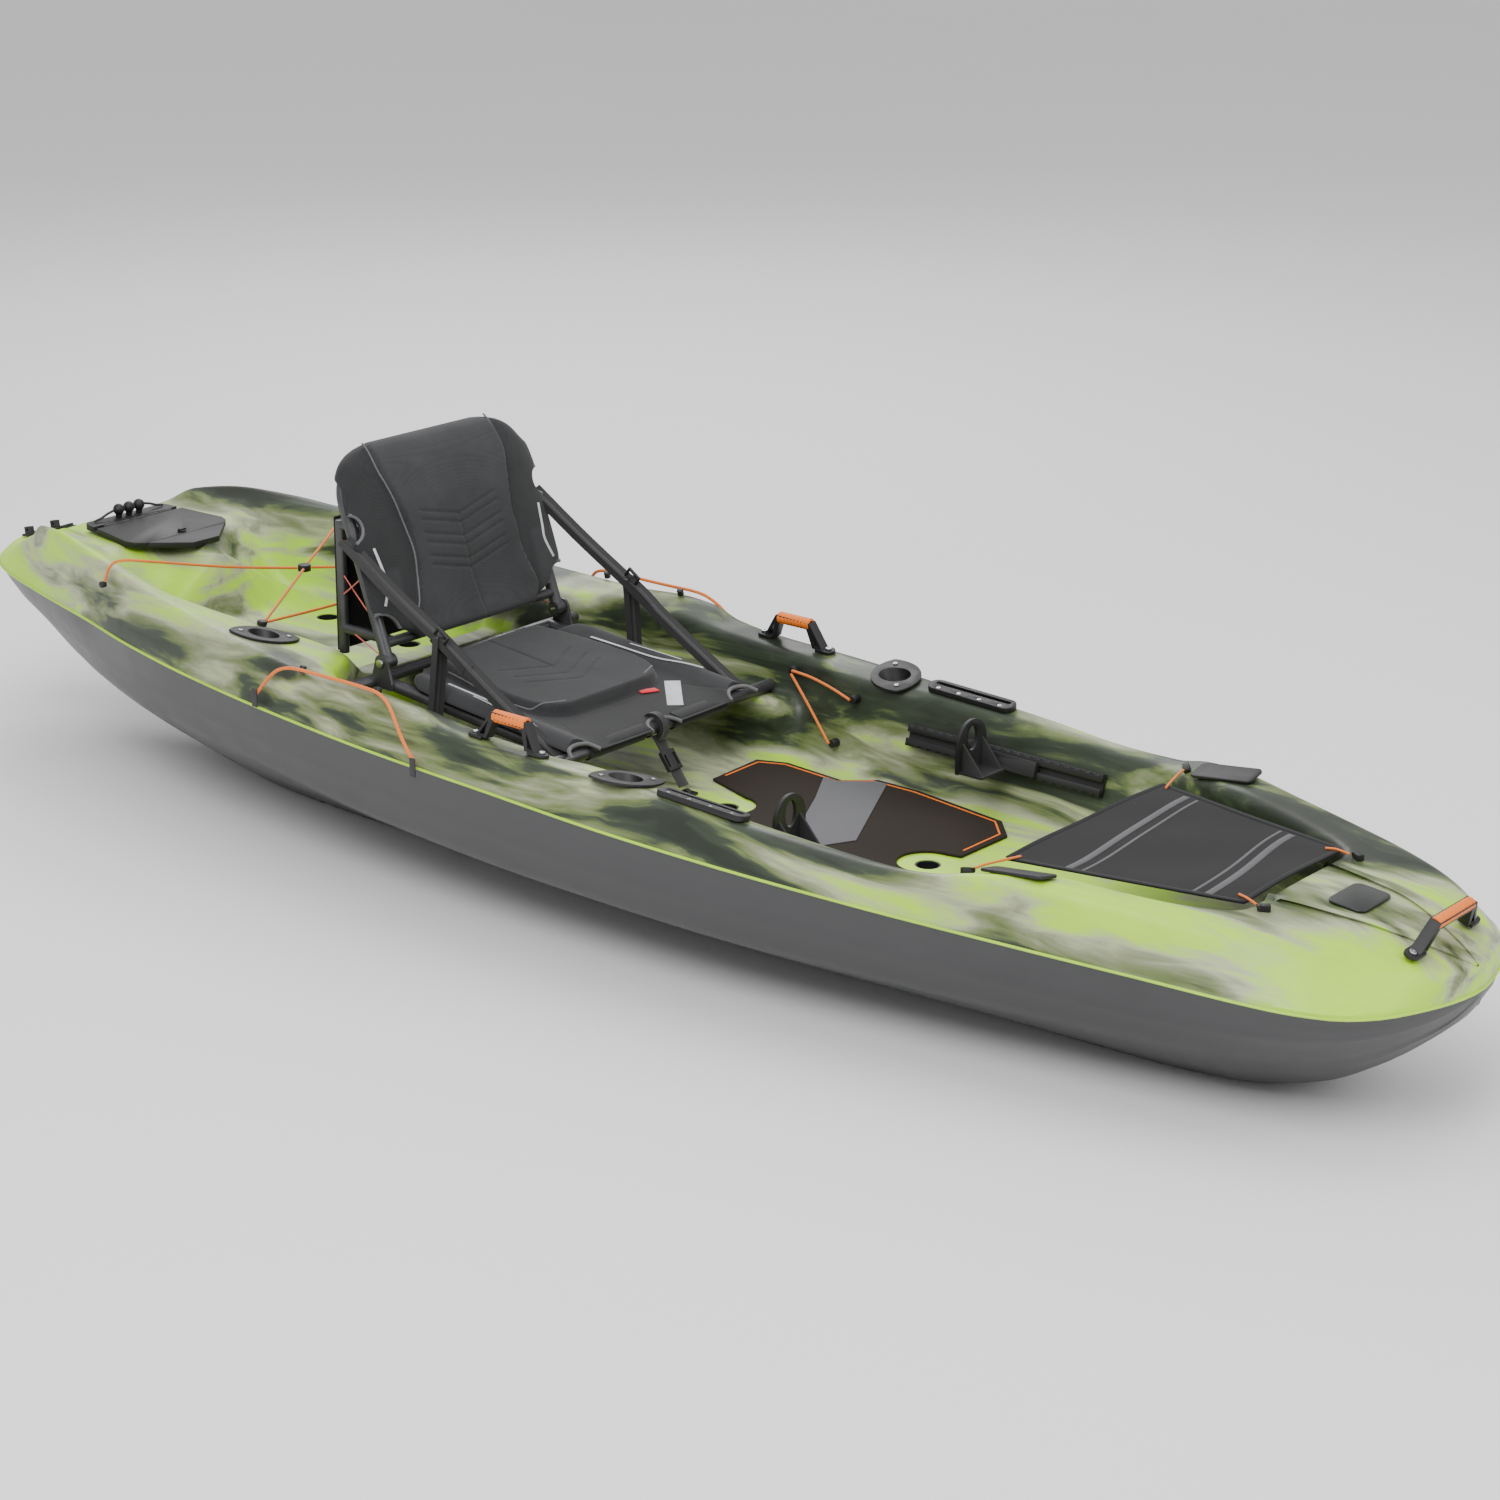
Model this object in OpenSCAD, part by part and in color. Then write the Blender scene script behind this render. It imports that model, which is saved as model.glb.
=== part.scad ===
// Sit-on-top fishing kayak: two moulded shells, a framed folding seat and deck fittings.
// +X runs to the bow, +Y to port, +Z up; the origin is on the keel plane, amidships.

/* [Hull] */
// Overall length, stern to bow
hull_len = 3175; // [2900:5:3500]
// Overall width at the seam between the shells
beam = 864; // [760:2:960]
// Height of the side rails amidships above the keel
rail_h = 346; // [320:2:400]
// Wall of the bottom shell
hull_wall = 5; // [4:0.5:6]
// Wall of the deck shell
deck_wall = 5; // [4:0.5:6]
// Height of the cockpit floor above the keel
floor_h = 172; // [160:2:190]
// Height of the tank well floor above the keel
tank_h = 265; // [250:5:275]

/* [Seat] */
// Width of the seat frame between tube centres
seat_w = 430; // [360:5:470]
// Depth of the seat base from hinge to front tube
seat_depth = 420; // [350:5:430]
// Length of the seat back above its hinge
back_len = 345; // [290:5:400]
// Outside diameter of the seat tubes
tube_d = 22; // [18:1:26]
// Thickness of the base cushion
base_pad_t = 34; // [24:1:38]
// Thickness of the back cushion
back_pad_t = 38; // [26:1:44]
// Lean of the back behind upright
back_lean = 20; // [16:1:24]

/* [Rod holders] */
// Bore of a rod holder
rod_bore_d = 50; // [42:1:54]
// Wall of the rod holder tube
rod_wall = 2.5; // [2:0.5:3]
// Depth of the straight bore
rod_depth = 100; // [80:5:110]
// Lean of the holders toward the stern
rod_lean = 25; // [15:1:30]
// Distance of the front holders ahead of amidships
rod_front_x = 292; // [280:2:300]
// Distance of the rear holders behind amidships
rod_rear_x = 592; // [570:2:620]

/* [Foot braces] */
// Length of a foot brace rail
foot_rail_len = 400; // [360:10:440]
// Middle of the rails ahead of amidships
foot_rail_x = 560; // [540:5:580]
// Travel of a pedal toward the bow
pedal_fore = 90; // [60:5:100]
// Travel of a pedal toward the seat
pedal_aft = 130; // [90:5:140]

/* [Fittings] */
// Diameter of the elastic cords
cord_d = 6; // [5:0.5:8]
// Length of a gear track
track_len = 176; // [150:2:200]
// Width of a gear track
track_w = 34; // [30:1:38]
// Length of a carry handle between its screws
handle_len = 144; // [120:2:160]
// Height of a carry handle's grip above the deck
handle_h = 44; // [38:1:52]
// Distance of the bow handle behind the bow end
bow_handle_back = 66; // [60:2:80]
// Width of the bow cover at its aft end
cover_w_aft = 440; // [400:5:450]
// Width of the bow cover at its forward end
cover_w_fore = 290; // [260:5:300]
// Hole through a scupper
scupper_d = 36; // [28:1:40]

/* [Hidden] */

$fn = 32;
// The lines plan below is drawn at this size and is scaled to the driving sizes.
plan_len = 3175;
plan_beam = 864;
plan_rail = 346;
sx = hull_len / plan_len;
sy = beam / plan_beam;
sz = rail_h / plan_rail;
bow_x = hull_len / 2;
stern_x = -hull_len / 2;
seam_gap = 0.2;
seat_gap = 0.3;
lift = 0.6;
sides = [1, -1];

// Lines plan: x, half width of the seam, height of the seam.
seam = [[-1587.5, 14, 310], [-1582, 50, 310], [-1562, 90, 311], [-1520, 130, 313],
  [-1450, 170, 315], [-1300, 222, 316], [-1100, 280, 316], [-900, 335, 311], [-700, 375, 305],
  [-450, 408, 298], [-200, 426, 290], [0, 432, 285], [250, 428, 273], [500, 412, 262],
  [750, 385, 253], [1000, 345, 243], [1200, 305, 233], [1400, 270, 226], [1480, 238, 223],
  [1530, 184, 220], [1565, 110, 219], [1582, 50, 218], [1587.5, 14, 218]];
// Lines plan: x, half width and height of the rail's outer crest.
crest = [[-1587.5, 10, 330], [-1560, 58, 336], [-1500, 105, 350], [-1430, 140, 378],
  [-1360, 172, 408], [-1310, 198, 438], [-1200, 234, 452], [-1100, 266, 446], [-1000, 292, 434],
  [-880, 322, 421], [-740, 345, 406], [-600, 365, 393], [-450, 383, 381], [-330, 392, 377],
  [-220, 396, 382], [-150, 397, 377], [-90, 397, 357], [0, 395, 347], [150, 392, 343],
  [300, 386, 338], [450, 380, 330], [600, 372, 323], [750, 360, 315], [870, 346, 321],
  [930, 338, 333], [1000, 320, 338], [1130, 285, 330], [1250, 255, 320], [1350, 225, 311],
  [1430, 195, 299], [1500, 150, 281], [1545, 105, 268], [1575, 55, 257], [1587.5, 10, 250]];
// Lines plan: x, half width and height of the rail's inner edge.
inner = [[-1587.5, 6, 330], [-1500, 80, 348], [-1430, 112, 374], [-1360, 142, 400],
  [-1310, 168, 424], [-1200, 207, 432], [-1080, 228, 426], [-960, 262, 420], [-860, 276, 408],
  [-740, 262, 392], [-620, 225, 372], [-520, 205, 358], [-460, 222, 354], [-410, 300, 356],
  [-340, 335, 358], [-250, 335, 357], [-150, 333, 350], [0, 336, 340], [120, 336, 334],
  [200, 318, 329], [300, 314, 326], [380, 330, 324], [560, 333, 318], [700, 327, 310],
  [830, 316, 304], [900, 292, 309], [960, 264, 320], [1040, 240, 326], [1130, 220, 320],
  [1230, 186, 313], [1290, 152, 311], [1430, 110, 301], [1500, 80, 285], [1560, 35, 264],
  [1587.5, 6, 251]];
// Lines plan: x, half width and height where the inner wall meets the floor.
foot = [[-1587.5, 4, 331], [-1500, 60, 347], [-1430, 90, 372], [-1360, 118, 394],
  [-1310, 138, 402], [-1180, 150, 404], [-1150, 165, 392], [-1070, 190, 276], [-1045, 200, 265],
  [-960, 240, 265], [-860, 246, 265], [-700, 225, 265], [-580, 185, 266], [-540, 175, 268],
  [-515, 170, 305], [-475, 170, 305], [-450, 180, 190], [-420, 205, 172], [-300, 232, 172],
  [0, 262, 172], [200, 284, 172], [400, 290, 172], [600, 284, 172], [800, 258, 172],
  [960, 224, 172], [1130, 178, 176], [1230, 140, 184], [1262, 126, 192], [1290, 110, 311],
  [1430, 84, 303], [1500, 60, 288], [1560, 25, 266], [1587.5, 4, 252]];
// Lines plan: x, height of the deck on the centre line.
middle = [[-1587.5, 331], [-1500, 350], [-1430, 377], [-1360, 399], [-1310, 405],
  [-1060, 402], [-1035, 396], [-985, 276], [-960, 265], [-580, 265], [-540, 268], [-515, 305],
  [-475, 305], [-450, 190], [-420, 172], [1130, 172], [1230, 182], [1262, 192], [1290, 312],
  [1400, 306], [1500, 289], [1560, 267], [1587.5, 252]];
// Lines plan: x, strength, half width and height of the ledge that carries the seat.
ledge = [[-1587.5, 0, 240, 262], [-430, 0, 240, 262], [-390, 1, 250, 262], [-200, 1, 255, 262],
  [0, 1, 262, 268], [90, 1, 270, 268], [125, 0, 275, 262], [1587.5, 0, 240, 254]];
// Lines plan: x, keel height, half width of the flat keel, half width and height of the chine.
keel = [[-1587.5, 286, 5, 9, 296], [-1560, 248, 12, 44, 272], [-1500, 208, 25, 78, 250],
  [-1420, 162, 40, 112, 224], [-1340, 114, 52, 146, 212], [-1250, 84, 62, 178, 196],
  [-1080, 48, 76, 238, 184], [-910, 22, 88, 288, 180], [-750, 4, 96, 322, 178],
  [-600, 0, 100, 340, 172], [-300, 0, 108, 357, 142], [0, 0, 112, 362, 124],
  [400, 0, 110, 350, 112], [800, 0, 100, 300, 106], [1100, 0, 90, 250, 104],
  [1250, 6, 80, 222, 106], [1380, 36, 64, 190, 118], [1470, 86, 50, 160, 140],
  [1530, 134, 36, 114, 164], [1568, 172, 20, 62, 188], [1582, 194, 10, 28, 202],
  [1587.5, 206, 5, 9, 211]];
// Where the shells take a section, closer together at the walls and the rounded ends.
stations = [-1587.5, -1583, -1570, -1546, -1510, -1470, -1420, -1370, -1330, -1300, -1250,
  -1185, -1150, -1110, -1070, -1040, -1010, -985, -955, -890, -810, -730, -650, -585, -540,
  -515, -475, -450, -420, -390, -335, -265, -200, -150, -115, -75, 0, 90, 125, 180, 250, 320,
  390, 480, 580, 680, 770, 850, 910, 965, 1040, 1130, 1200, 1240, 1262, 1290, 1345, 1400,
  1450, 1490, 1522, 1548, 1567, 1580, 1587.5];

// Smooth interpolation in a table, column k, with no overshoot.
function row_at(t, x, i = 0) = (i >= len(t) - 2 || x < t[i + 1][0]) ? i : row_at(t, x, i + 1);
function step_of(t, i, k) = (t[i + 1][k] - t[i][k]) / (t[i + 1][0] - t[i][0]);
function slope(t, i, k) =
  i <= 0 ? step_of(t, 0, k)
  : i >= len(t) - 1 ? step_of(t, len(t) - 2, k)
  : let (a = step_of(t, i - 1, k), b = step_of(t, i, k)) a * b <= 0 ? 0 : 2 * a * b / (a + b);
function table(t, x, k) =
  let (i = row_at(t, x), h = t[i + 1][0] - t[i][0], u = max(0, min(1, (x - t[i][0]) / h)))
  t[i][k] * (1 + 2 * u) * pow(1 - u, 2) + slope(t, i, k) * h * u * pow(1 - u, 2)
  + t[i + 1][k] * u * u * (3 - 2 * u) - slope(t, i + 1, k) * h * u * u * (1 - u);

function mix(a, b, t) = a + (b - a) * t;
function unit(v) = norm(v) < 1e-9 ? [0, 0] : v / norm(v);
// A rounded corner at p between a and b: n + 1 points.
function corner(p, a, b, r, n) =
  let (pa = p + unit(a - p) * min(r, norm(a - p) * 0.45),
       pb = p + unit(b - p) * min(r, norm(b - p) * 0.45))
  [for (i = [0:n]) let (t = i / n) pa * pow(1 - t, 2) + p * 2 * t * (1 - t) + pb * t * t];

// The lines plan's heights follow the rail, and the floors keep their own heights.
function plan_z(z) = z < 265 ? mix(floor_h, tank_h, (z - 172) / (265 - 172))
  : mix(tank_h, rail_h, (z - 265) / (plan_rail - 265));
function seam_y(x) = table(seam, x, 1) * sy;
function seam_z(x) = table(seam, x, 2) * sz;
function crest_at(x) = [table(crest, x, 1) * sy, table(crest, x, 2) * sz];
function inner_at(x) = [table(inner, x, 1) * sy, table(inner, x, 2) * sz];
function foot_at(x) = [table(foot, x, 1) * sy, plan_z(table(foot, x, 2))];
function middle_z(x) = plan_z(table(middle, x, 1));

// Half of a deck section, from the seam to the centre line: [y, z] points.
function half_deck(x) =
  let (s = [seam_y(x), seam_z(x)], a = crest_at(x), b = inner_at(x), e = foot_at(x),
       k = table(ledge, x, 1), m = [0, middle_z(x)],
       c = mix(mix(b, e, 0.4), [b[0] - 12, table(ledge, x, 3)], k),
       d = mix(mix(b, e, 0.6), [table(ledge, x, 2) * sy, table(ledge, x, 3)], k))
  concat([s, s + [0, 7 * min(1, (a[1] - s[1]) / 30)]],
    corner(a, s + [0, 7 * min(1, (a[1] - s[1]) / 30)], b, 20, 3), corner(b, a, c, 14, 2),
    corner(c, b, d, 12, 1), corner(d, c, e, 12, 1), corner(e, d, m, 26, 2),
    [mix(e, m, 0.5)]);
function both_sides(h, m) = concat(h, [m], [for (i = [len(h) - 1:-1:0]) [-h[i][0], h[i][1]]]);
function deck_section(x) = both_sides(half_deck(x), [0, middle_z(x)]);

// Half of a bottom section, from the seam down to the centre line.
function half_hull(x) =
  let (s = [seam_y(x), seam_z(x) - seam_gap], f = [table(keel, x, 2) * sy, table(keel, x, 1)],
       c = [table(keel, x, 3) * sy, table(keel, x, 4)],
       u = mix(s, c, 0.5) + [6 * sy * min(1, s[0] / 100), -6 * min(1, s[0] / 100)])
  concat([s], [mix(s, u, 0.5) + [1, -1] * min(1, s[0] / 100)], [u], corner(c, u, f, 24, 2),
    [mix(c, f, 0.5) + [2, -3] * min(1, s[0] / 100)], corner(f, c, [0, f[1]], 20, 1));
function hull_section(x) = both_sides(half_hull(x), [0, table(keel, x, 1)]);

// The same section moved inward by a wall; way is 1 for the deck and -1 for the bottom.
function inset_section(p, wall, way) =
  [for (i = [0:len(p) - 1])
    let (a = p[max(0, i - 1)], b = p[min(len(p) - 1, i + 1)], d = unit(b - a),
         n = way * [d[1], -d[0]], end = i == 0 || i == len(p) - 1)
    end ? [p[i][0] - sign(p[i][0]) * wall, p[i][1]] : p[i] - n * wall];

// A closed shell between sections and the same sections inset by the wall.
module shell(sections, wall, way) {
  n = len(sections[0]);
  m = len(stations);
  ends = (bow_x - wall) / bow_x;
  outer = [for (i = [0:m - 1]) for (p = sections[i]) [stations[i] * sx, p[0], p[1]]];
  inside = [for (i = [0:m - 1]) for (p = inset_section(sections[i], wall, way))
    [stations[i] * sx * ends, p[0], p[1]]];
  o = m * n;
  function turn(f) = way < 0 ? f : [for (i = [len(f) - 1:-1:0]) f[i]];
  skin = [for (i = [0:m - 2]) for (j = [0:n - 2])
    let (a = i * n + j) each [turn([a, a + 1, a + n + 1]), turn([a, a + n + 1, a + n])]];
  lining = [for (i = [0:m - 2]) for (j = [0:n - 2])
    let (a = o + i * n + j) each [turn([a, a + n + 1, a + 1]), turn([a, a + n, a + n + 1])]];
  rims = [for (i = [0:m - 2]) let (a = i * n, b = a + n - 1)
    each [turn([a, a + n, o + a + n]), turn([a, o + a + n, o + a]),
          turn([b, o + b + n, b + n]), turn([b, o + b, o + b + n])]];
  last = (m - 1) * n;
  caps = [turn([for (j = [n - 1:-1:0]) j]), turn([for (j = [0:n - 1]) o + j]),
    turn([for (j = [0:n - 1]) last + j]), turn([for (j = [n - 1:-1:0]) o + last + j]),
    turn([0, o, o + n - 1, n - 1]), turn([last, last + n - 1, o + last + n - 1, o + last])];
  polyhedron(points = concat(outer, inside), faces = concat(skin, lining, rims, caps),
    convexity = 10);
}

// Height of the rail's top at x, y; and its tilt across the boat in degrees.
function plan_x(x) = x / sx;
function rail_z(x, y) =
  let (a = crest_at(plan_x(x)), b = inner_at(plan_x(x)))
  mix(b[1], a[1], (abs(y) - b[0]) / (a[0] - b[0]));
function rail_tilt(x) =
  let (a = crest_at(plan_x(x)), b = inner_at(plan_x(x))) atan2(a[1] - b[1], a[0] - b[0]);
function rail_pitch(x, y, d) = -atan2(rail_z(x + d, y) - rail_z(x - d, y), 2 * d);
function bow_z(x, y) =
  let (a = crest_at(plan_x(x)), m = middle_z(plan_x(x))) mix(m, a[1], abs(y) / a[0]);
function rail_mid(x) = let (a = crest_at(plan_x(x)), b = inner_at(plan_x(x))) (a[0] + b[0]) / 2;

// Sets children on the rail's top at x, side s, with their own +Z along its normal.
module on_rail(x, y, s, d = 60, up = lift) {
  translate([x, s * y, rail_z(x, y)])
    rotate([s * rail_tilt(x), rail_pitch(x, y, d), 0]) translate([0, 0, up]) children();
}

// A slot-shaped outline, and a plate of it.
module slot_shape(l, w) {
  square([l - w, w], center = true);
  for (s = sides) translate([s * (l - w) / 2, 0]) circle(d = w);
}
module screw_head(d = 9, h = 2.4) {
  difference() {
    cylinder(d = d, h = h);
    translate([0, 0, h / 2]) cylinder(d = d * 0.4, h = h, $fn = 6);
  }
}

// A round bar between two points.
module bar(a, b, d) {
  v = b - a;
  translate(a) rotate([0, acos(v[2] / norm(v)), atan2(v[1], v[0])])
    cylinder(d = d, h = norm(v));
}
function unit3(v) = v / norm(v);

// A tube swept along points, with eight sides.
function tangent(p, i) = unit3(p[min(len(p) - 1, i + 1)] - p[max(0, i - 1)]);
module cord(p, d = cord_d, n = 8) {
  rings = [for (i = [0:len(p) - 1])
    let (t = tangent(p, i), up = abs(t[2]) > 0.9 ? [1, 0, 0] : [0, 0, 1],
         u = unit3(cross(t, up)), w = cross(t, u))
    for (k = [0:n - 1]) p[i] + d / 2 * (u * cos(360 * k / n) + w * sin(360 * k / n))];
  last = (len(p) - 1) * n;
  polyhedron(points = rings, faces = concat(
    [[for (k = [0:n - 1]) k]], [[for (k = [n - 1:-1:0]) last + k]],
    [for (i = [0:len(p) - 2]) for (k = [0:n - 1]) let (a = i * n, j = (k + 1) % n)
      each [[a + k, a + n + k, a + n + j], [a + k, a + n + j, a + j]]]));
}
function flip(p, s) = [for (q = p) [q[0], s * q[1], q[2]]];

// Scuppers: x, y pairs, from the floor down through the bottom.
scuppers = [[205, 0], [622, 0], [-300, 120], [-300, -120], [-640, 105], [-640, -105],
  [-880, 130], [-880, -130]];
scupper_wall = 3;
scupper_out = scupper_d + 2 * scupper_wall;
scupper_fit = 0.4;
function floor_z(x) = middle_z(plan_x(x));
function bottom_z(x, y) =
  let (u = plan_x(x), f = table(keel, u, 2) * sy, c = table(keel, u, 3) * sy)
  abs(y) <= f ? table(keel, u, 1)
  : mix(table(keel, u, 1), table(keel, u, 4), (abs(y) - f) / (c - f));
module scupper_holes() {
  for (p = scuppers) hull() for (z = [-20, tank_h + 60])
    translate([p[0], p[1], z]) cylinder(d = scupper_out + 2 * scupper_fit, h = 1);
}

module hull_bottom() color("#555659") difference() {
  shell([for (x = stations) hull_section(x)], hull_wall, -1);
  scupper_holes();
}

rod_out = rod_bore_d + 2 * rod_wall;
rod_sites = [[rod_front_x, 1], [rod_front_x, -1], [-rod_rear_x, 1], [-rod_rear_x, -1]];
function rod_y(x) = rail_mid(x) + 2;
module at_rod(x, s) { on_rail(x, rod_y(x), s, 50) children(); }
// The holder's own frame: its bore leans so that a rod points up and aft.
module rod_frame() { rotate([0, -rod_lean, 0]) children(); }
drain_d = 26;
drain_back = 110;
drain_x = stern_x + drain_back;
function deck_pitch(x) = atan2(floor_z(x + 15) - floor_z(x - 15), 30);
drain_pitch = deck_pitch(drain_x);
module drain_frame() {
  translate([drain_x, 0, floor_z(drain_x)]) rotate([0, -drain_pitch, 0]) children();
}

// Rests moulded under the deck, one below the end of each rod holder's tube: the front ones
// stand out from the footwell's wall and the rear ones from under the tank well's floor.
rest_w = 20;
rest_t = 8;
rest_bite = 1.5;
rest_drop = 22;
rest_past = 10;
function rod_point(x, d) =
  let (y = rod_y(x), t = rail_tilt(x), p = rail_pitch(x, y, 50), u = d * sin(rod_lean),
       v = d * cos(rod_lean))
  [x + u * cos(p) - v * cos(t) * sin(p), y + v * sin(t),
   rail_z(x, y) - u * sin(p) - v * cos(t) * cos(p)];
function wall_y(x, z) =
  let (p = half_deck(x))
  min([for (i = [0:len(p) - 2]) if ((p[i][1] - z) * (p[i + 1][1] - z) < 0)
    mix(p[i][0], p[i + 1][0], (z - p[i][1]) / (p[i + 1][1] - p[i][1]))]);
module rest(x, y0, y1, z) {
  for (s = sides) translate([x, s * (y0 + y1) / 2, z]) cube([rest_w, y1 - y0, rest_t], center = true);
}
module rod_rests() {
  f = rod_point(rod_front_x, rod_depth + flange_in + rest_drop);
  rest(f[0], wall_y(f[0], f[2]) + deck_wall / 2, f[1] + rest_past, f[2]);
  r = rod_point(-rod_rear_x, rod_depth + flange_in + rest_drop);
  rest(r[0], foot_at(r[0])[0] - 60, r[1] + rest_past, floor_z(r[0]) - deck_wall + rest_bite - rest_t / 2);
}

// Flats moulded in the deck, so that the drain's flange, the hatch and the seat's feet sit level.
leg_y = 273;
leg_low = 264.5;
module deck_flats() {
  drain_frame() translate([0, 0, lift - 0.4]) cylinder(d = drain_d + 22, h = 12, $fn = 40);
  at_hatch() translate([0, 0, -0.4]) linear_extrude(14) hatch_outline(-1);
  for (s = sides) translate([-392, s * leg_y, leg_low - 0.4]) cylinder(d = 22, h = 30, $fn = 24);
}

module deck() color("#a9c94b") difference() {
  union() {
    shell([for (x = stations) deck_section(x)], deck_wall, 1);
    rod_rests();
  }
  for (r = rod_sites) at_rod(r[0], r[1]) rod_frame() hull() for (z = [-40, 30])
    translate([0, 0, z]) cylinder(d = rod_out + 2, h = 1);
  scupper_holes();
  drain_frame() hull() for (z = [-30, 20]) translate([0, 0, z]) cylinder(d = drain_d + 8, h = 1);
  deck_flats();
}

// Sealed foam blocks, a close fit between the two shells.
foam_gap = 0.5;
module foam_block(x, l, w, low, top) {
  translate([x, 0, (low + top) / 2]) cube([l, w, top - low - 2 * foam_gap], center = true);
}
module foam_blocks() color("white") {
  for (x = [-130, 410]) foam_block(x, 270, 60, hull_wall, floor_h - deck_wall);
  foam_block(-765, 160, 50, bottom_z(-845, 0) + hull_wall + 1, tank_h - deck_wall);
}

module drain_socket() color("#1b1c1e") drain_frame() difference() {
  union() {
    translate([0, 0, lift]) cylinder(d = drain_d + 20, h = 3);
    translate([0, 0, -18]) cylinder(d = drain_d + 6, h = 18 + lift + 1);
  }
  translate([0, 0, -19]) cylinder(d = drain_d, h = 40);
}
plug_fit = 0.1;
module drain_plug() color("#26272a") drain_frame() {
  translate([0, 0, -20]) cylinder(d = drain_d - 2 * plug_fit, h = 20 + lift + 3 + seat_gap);
  difference() {
    translate([0, 0, lift + 3 + seat_gap]) cylinder(d = drain_d + 10, h = 5);
    for (s = sides) translate([0, s * 10, lift + 3 + 5]) cube([22, 7, 4], center = true);
  }
}

// Each tube starts inside the bottom shell, above the highest part of the bottom round its hole.
module scupper_tubes() color("#2a2b2e") for (p = scuppers) {
  out = scupper_out / 2;
  low = max([for (e = sides) bottom_z(p[0] + e * out, abs(p[1]) + out)]) + 1;
  translate([p[0], p[1], low]) difference() {
    cylinder(d = scupper_out, h = floor_z(p[0]) - low - 1);
    translate([0, 0, -1]) cylinder(d = scupper_d, h = tank_h);
  }
}

// Carry handles: two feet, two raked legs and a grip bar over the middle.
foot_l = 30;
handle_w = 24;
leg_in = 34;
grip_d = 19;
module handle_bracket(l, h) difference() {
  union() {
    for (s = sides) {
      translate([s * l / 2, 0, 0]) cylinder(d = handle_w, h = 5);
      translate([s * (l / 2 - foot_l / 2 + 4), 0, 2.5]) cube([foot_l - 8, handle_w, 5], center = true);
    }
    rotate([90, 0, 0]) linear_extrude(handle_w - 6, center = true) difference() {
      polygon([[-l / 2 + 6, 3], [-l / 2 + leg_in, h + 5], [l / 2 - leg_in, h + 5], [l / 2 - 6, 3],
        [l / 2 - 30, 3], [l / 2 - leg_in - 8, h - 7], [-l / 2 + leg_in + 8, h - 7], [-l / 2 + 30, 3]]);
      for (s = sides) polygon([[s * (l / 2 - 14), 8], [s * (l / 2 - 25), 8],
        [s * (l / 2 - leg_in + 3), h - 10]]);
    }
  }
  for (s = sides) translate([s * l / 2, 0, -1]) cylinder(d = 6, h = 20);
  translate([0, 0, h - 1]) rotate([0, 90, 0]) cylinder(d = grip_d + 0.4, h = l - 2 * leg_in - 6, center = true);
}
module handle_grip(l, h) translate([0, 0, h - 1]) rotate([0, 90, 0])
  cylinder(d = grip_d, h = l - 2 * leg_in - 6.4, center = true);
handle_x = 58;
handle_y = crest_at(handle_x)[0] - handle_w / 2 - 10;
module at_side_handle(s) { on_rail(handle_x, handle_y, s, 70, 1.7) children(); }
bow_handle_x = bow_x - bow_handle_back;
bow_handle_len = handle_len * 1.25;
module at_bow_handle() {
  translate([bow_handle_x, 0, bow_z(bow_handle_x, bow_handle_len / 2)])
    rotate([0, atan2(floor_z(bow_handle_x - 30) - floor_z(bow_handle_x + 30), 60), 0])
      translate([0, 0, 6]) rotate([0, 0, 90]) children();
}
module side_handle_left() color("#1b1c1e") at_side_handle(1) handle_bracket(handle_len, handle_h);
module side_handle_right() color("#1b1c1e") at_side_handle(-1) handle_bracket(handle_len, handle_h);
module side_grip_left() color("#ff8a2a") at_side_handle(1) handle_grip(handle_len, handle_h);
module side_grip_right() color("#ff8a2a") at_side_handle(-1) handle_grip(handle_len, handle_h);
module bow_handle() color("#1b1c1e") at_bow_handle() handle_bracket(bow_handle_len, handle_h);
module bow_grip() color("#ff8a2a") at_bow_handle() handle_grip(bow_handle_len, handle_h);
module handle_pair(l) for (s = sides) translate([s * l / 2, 0, 5 + 0.1]) screw_head(11, 4);
module handle_screws() color("silver") {
  for (s = sides) at_side_handle(s) handle_pair(handle_len);
  at_bow_handle() handle_pair(bow_handle_len);
}

// Gear tracks on the side rails.
track_x = 450;
track_h = 9;
slot_w = 9;
lip_w = 16;
function track_y() = rail_mid(track_x);
module at_track(s) { on_rail(track_x, track_y(), s, 70, 1) children(); }
track_screws_at = [-0.36, -0.12, 0.12, 0.36];
module track(s) color("#1b1c1e") at_track(s) difference() {
  linear_extrude(track_h) slot_shape(track_len, track_w);
  translate([0, 5, 4]) linear_extrude(track_h) slot_shape(track_len - 22, slot_w);
  translate([0, 5, 2.5]) linear_extrude(4) slot_shape(track_len - 30, lip_w - 2);
  for (k = track_screws_at) translate([k * track_len, -9, track_h - 3]) cylinder(d = 8, h = 10);
}
module gear_track_left() { track(1); }
module gear_track_right() { track(-1); }
module track_screws() color("silver") for (s = sides) at_track(s)
  for (k = track_screws_at) translate([k * track_len, -9, track_h - 2.9]) screw_head(7.4, 2.6);

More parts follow.
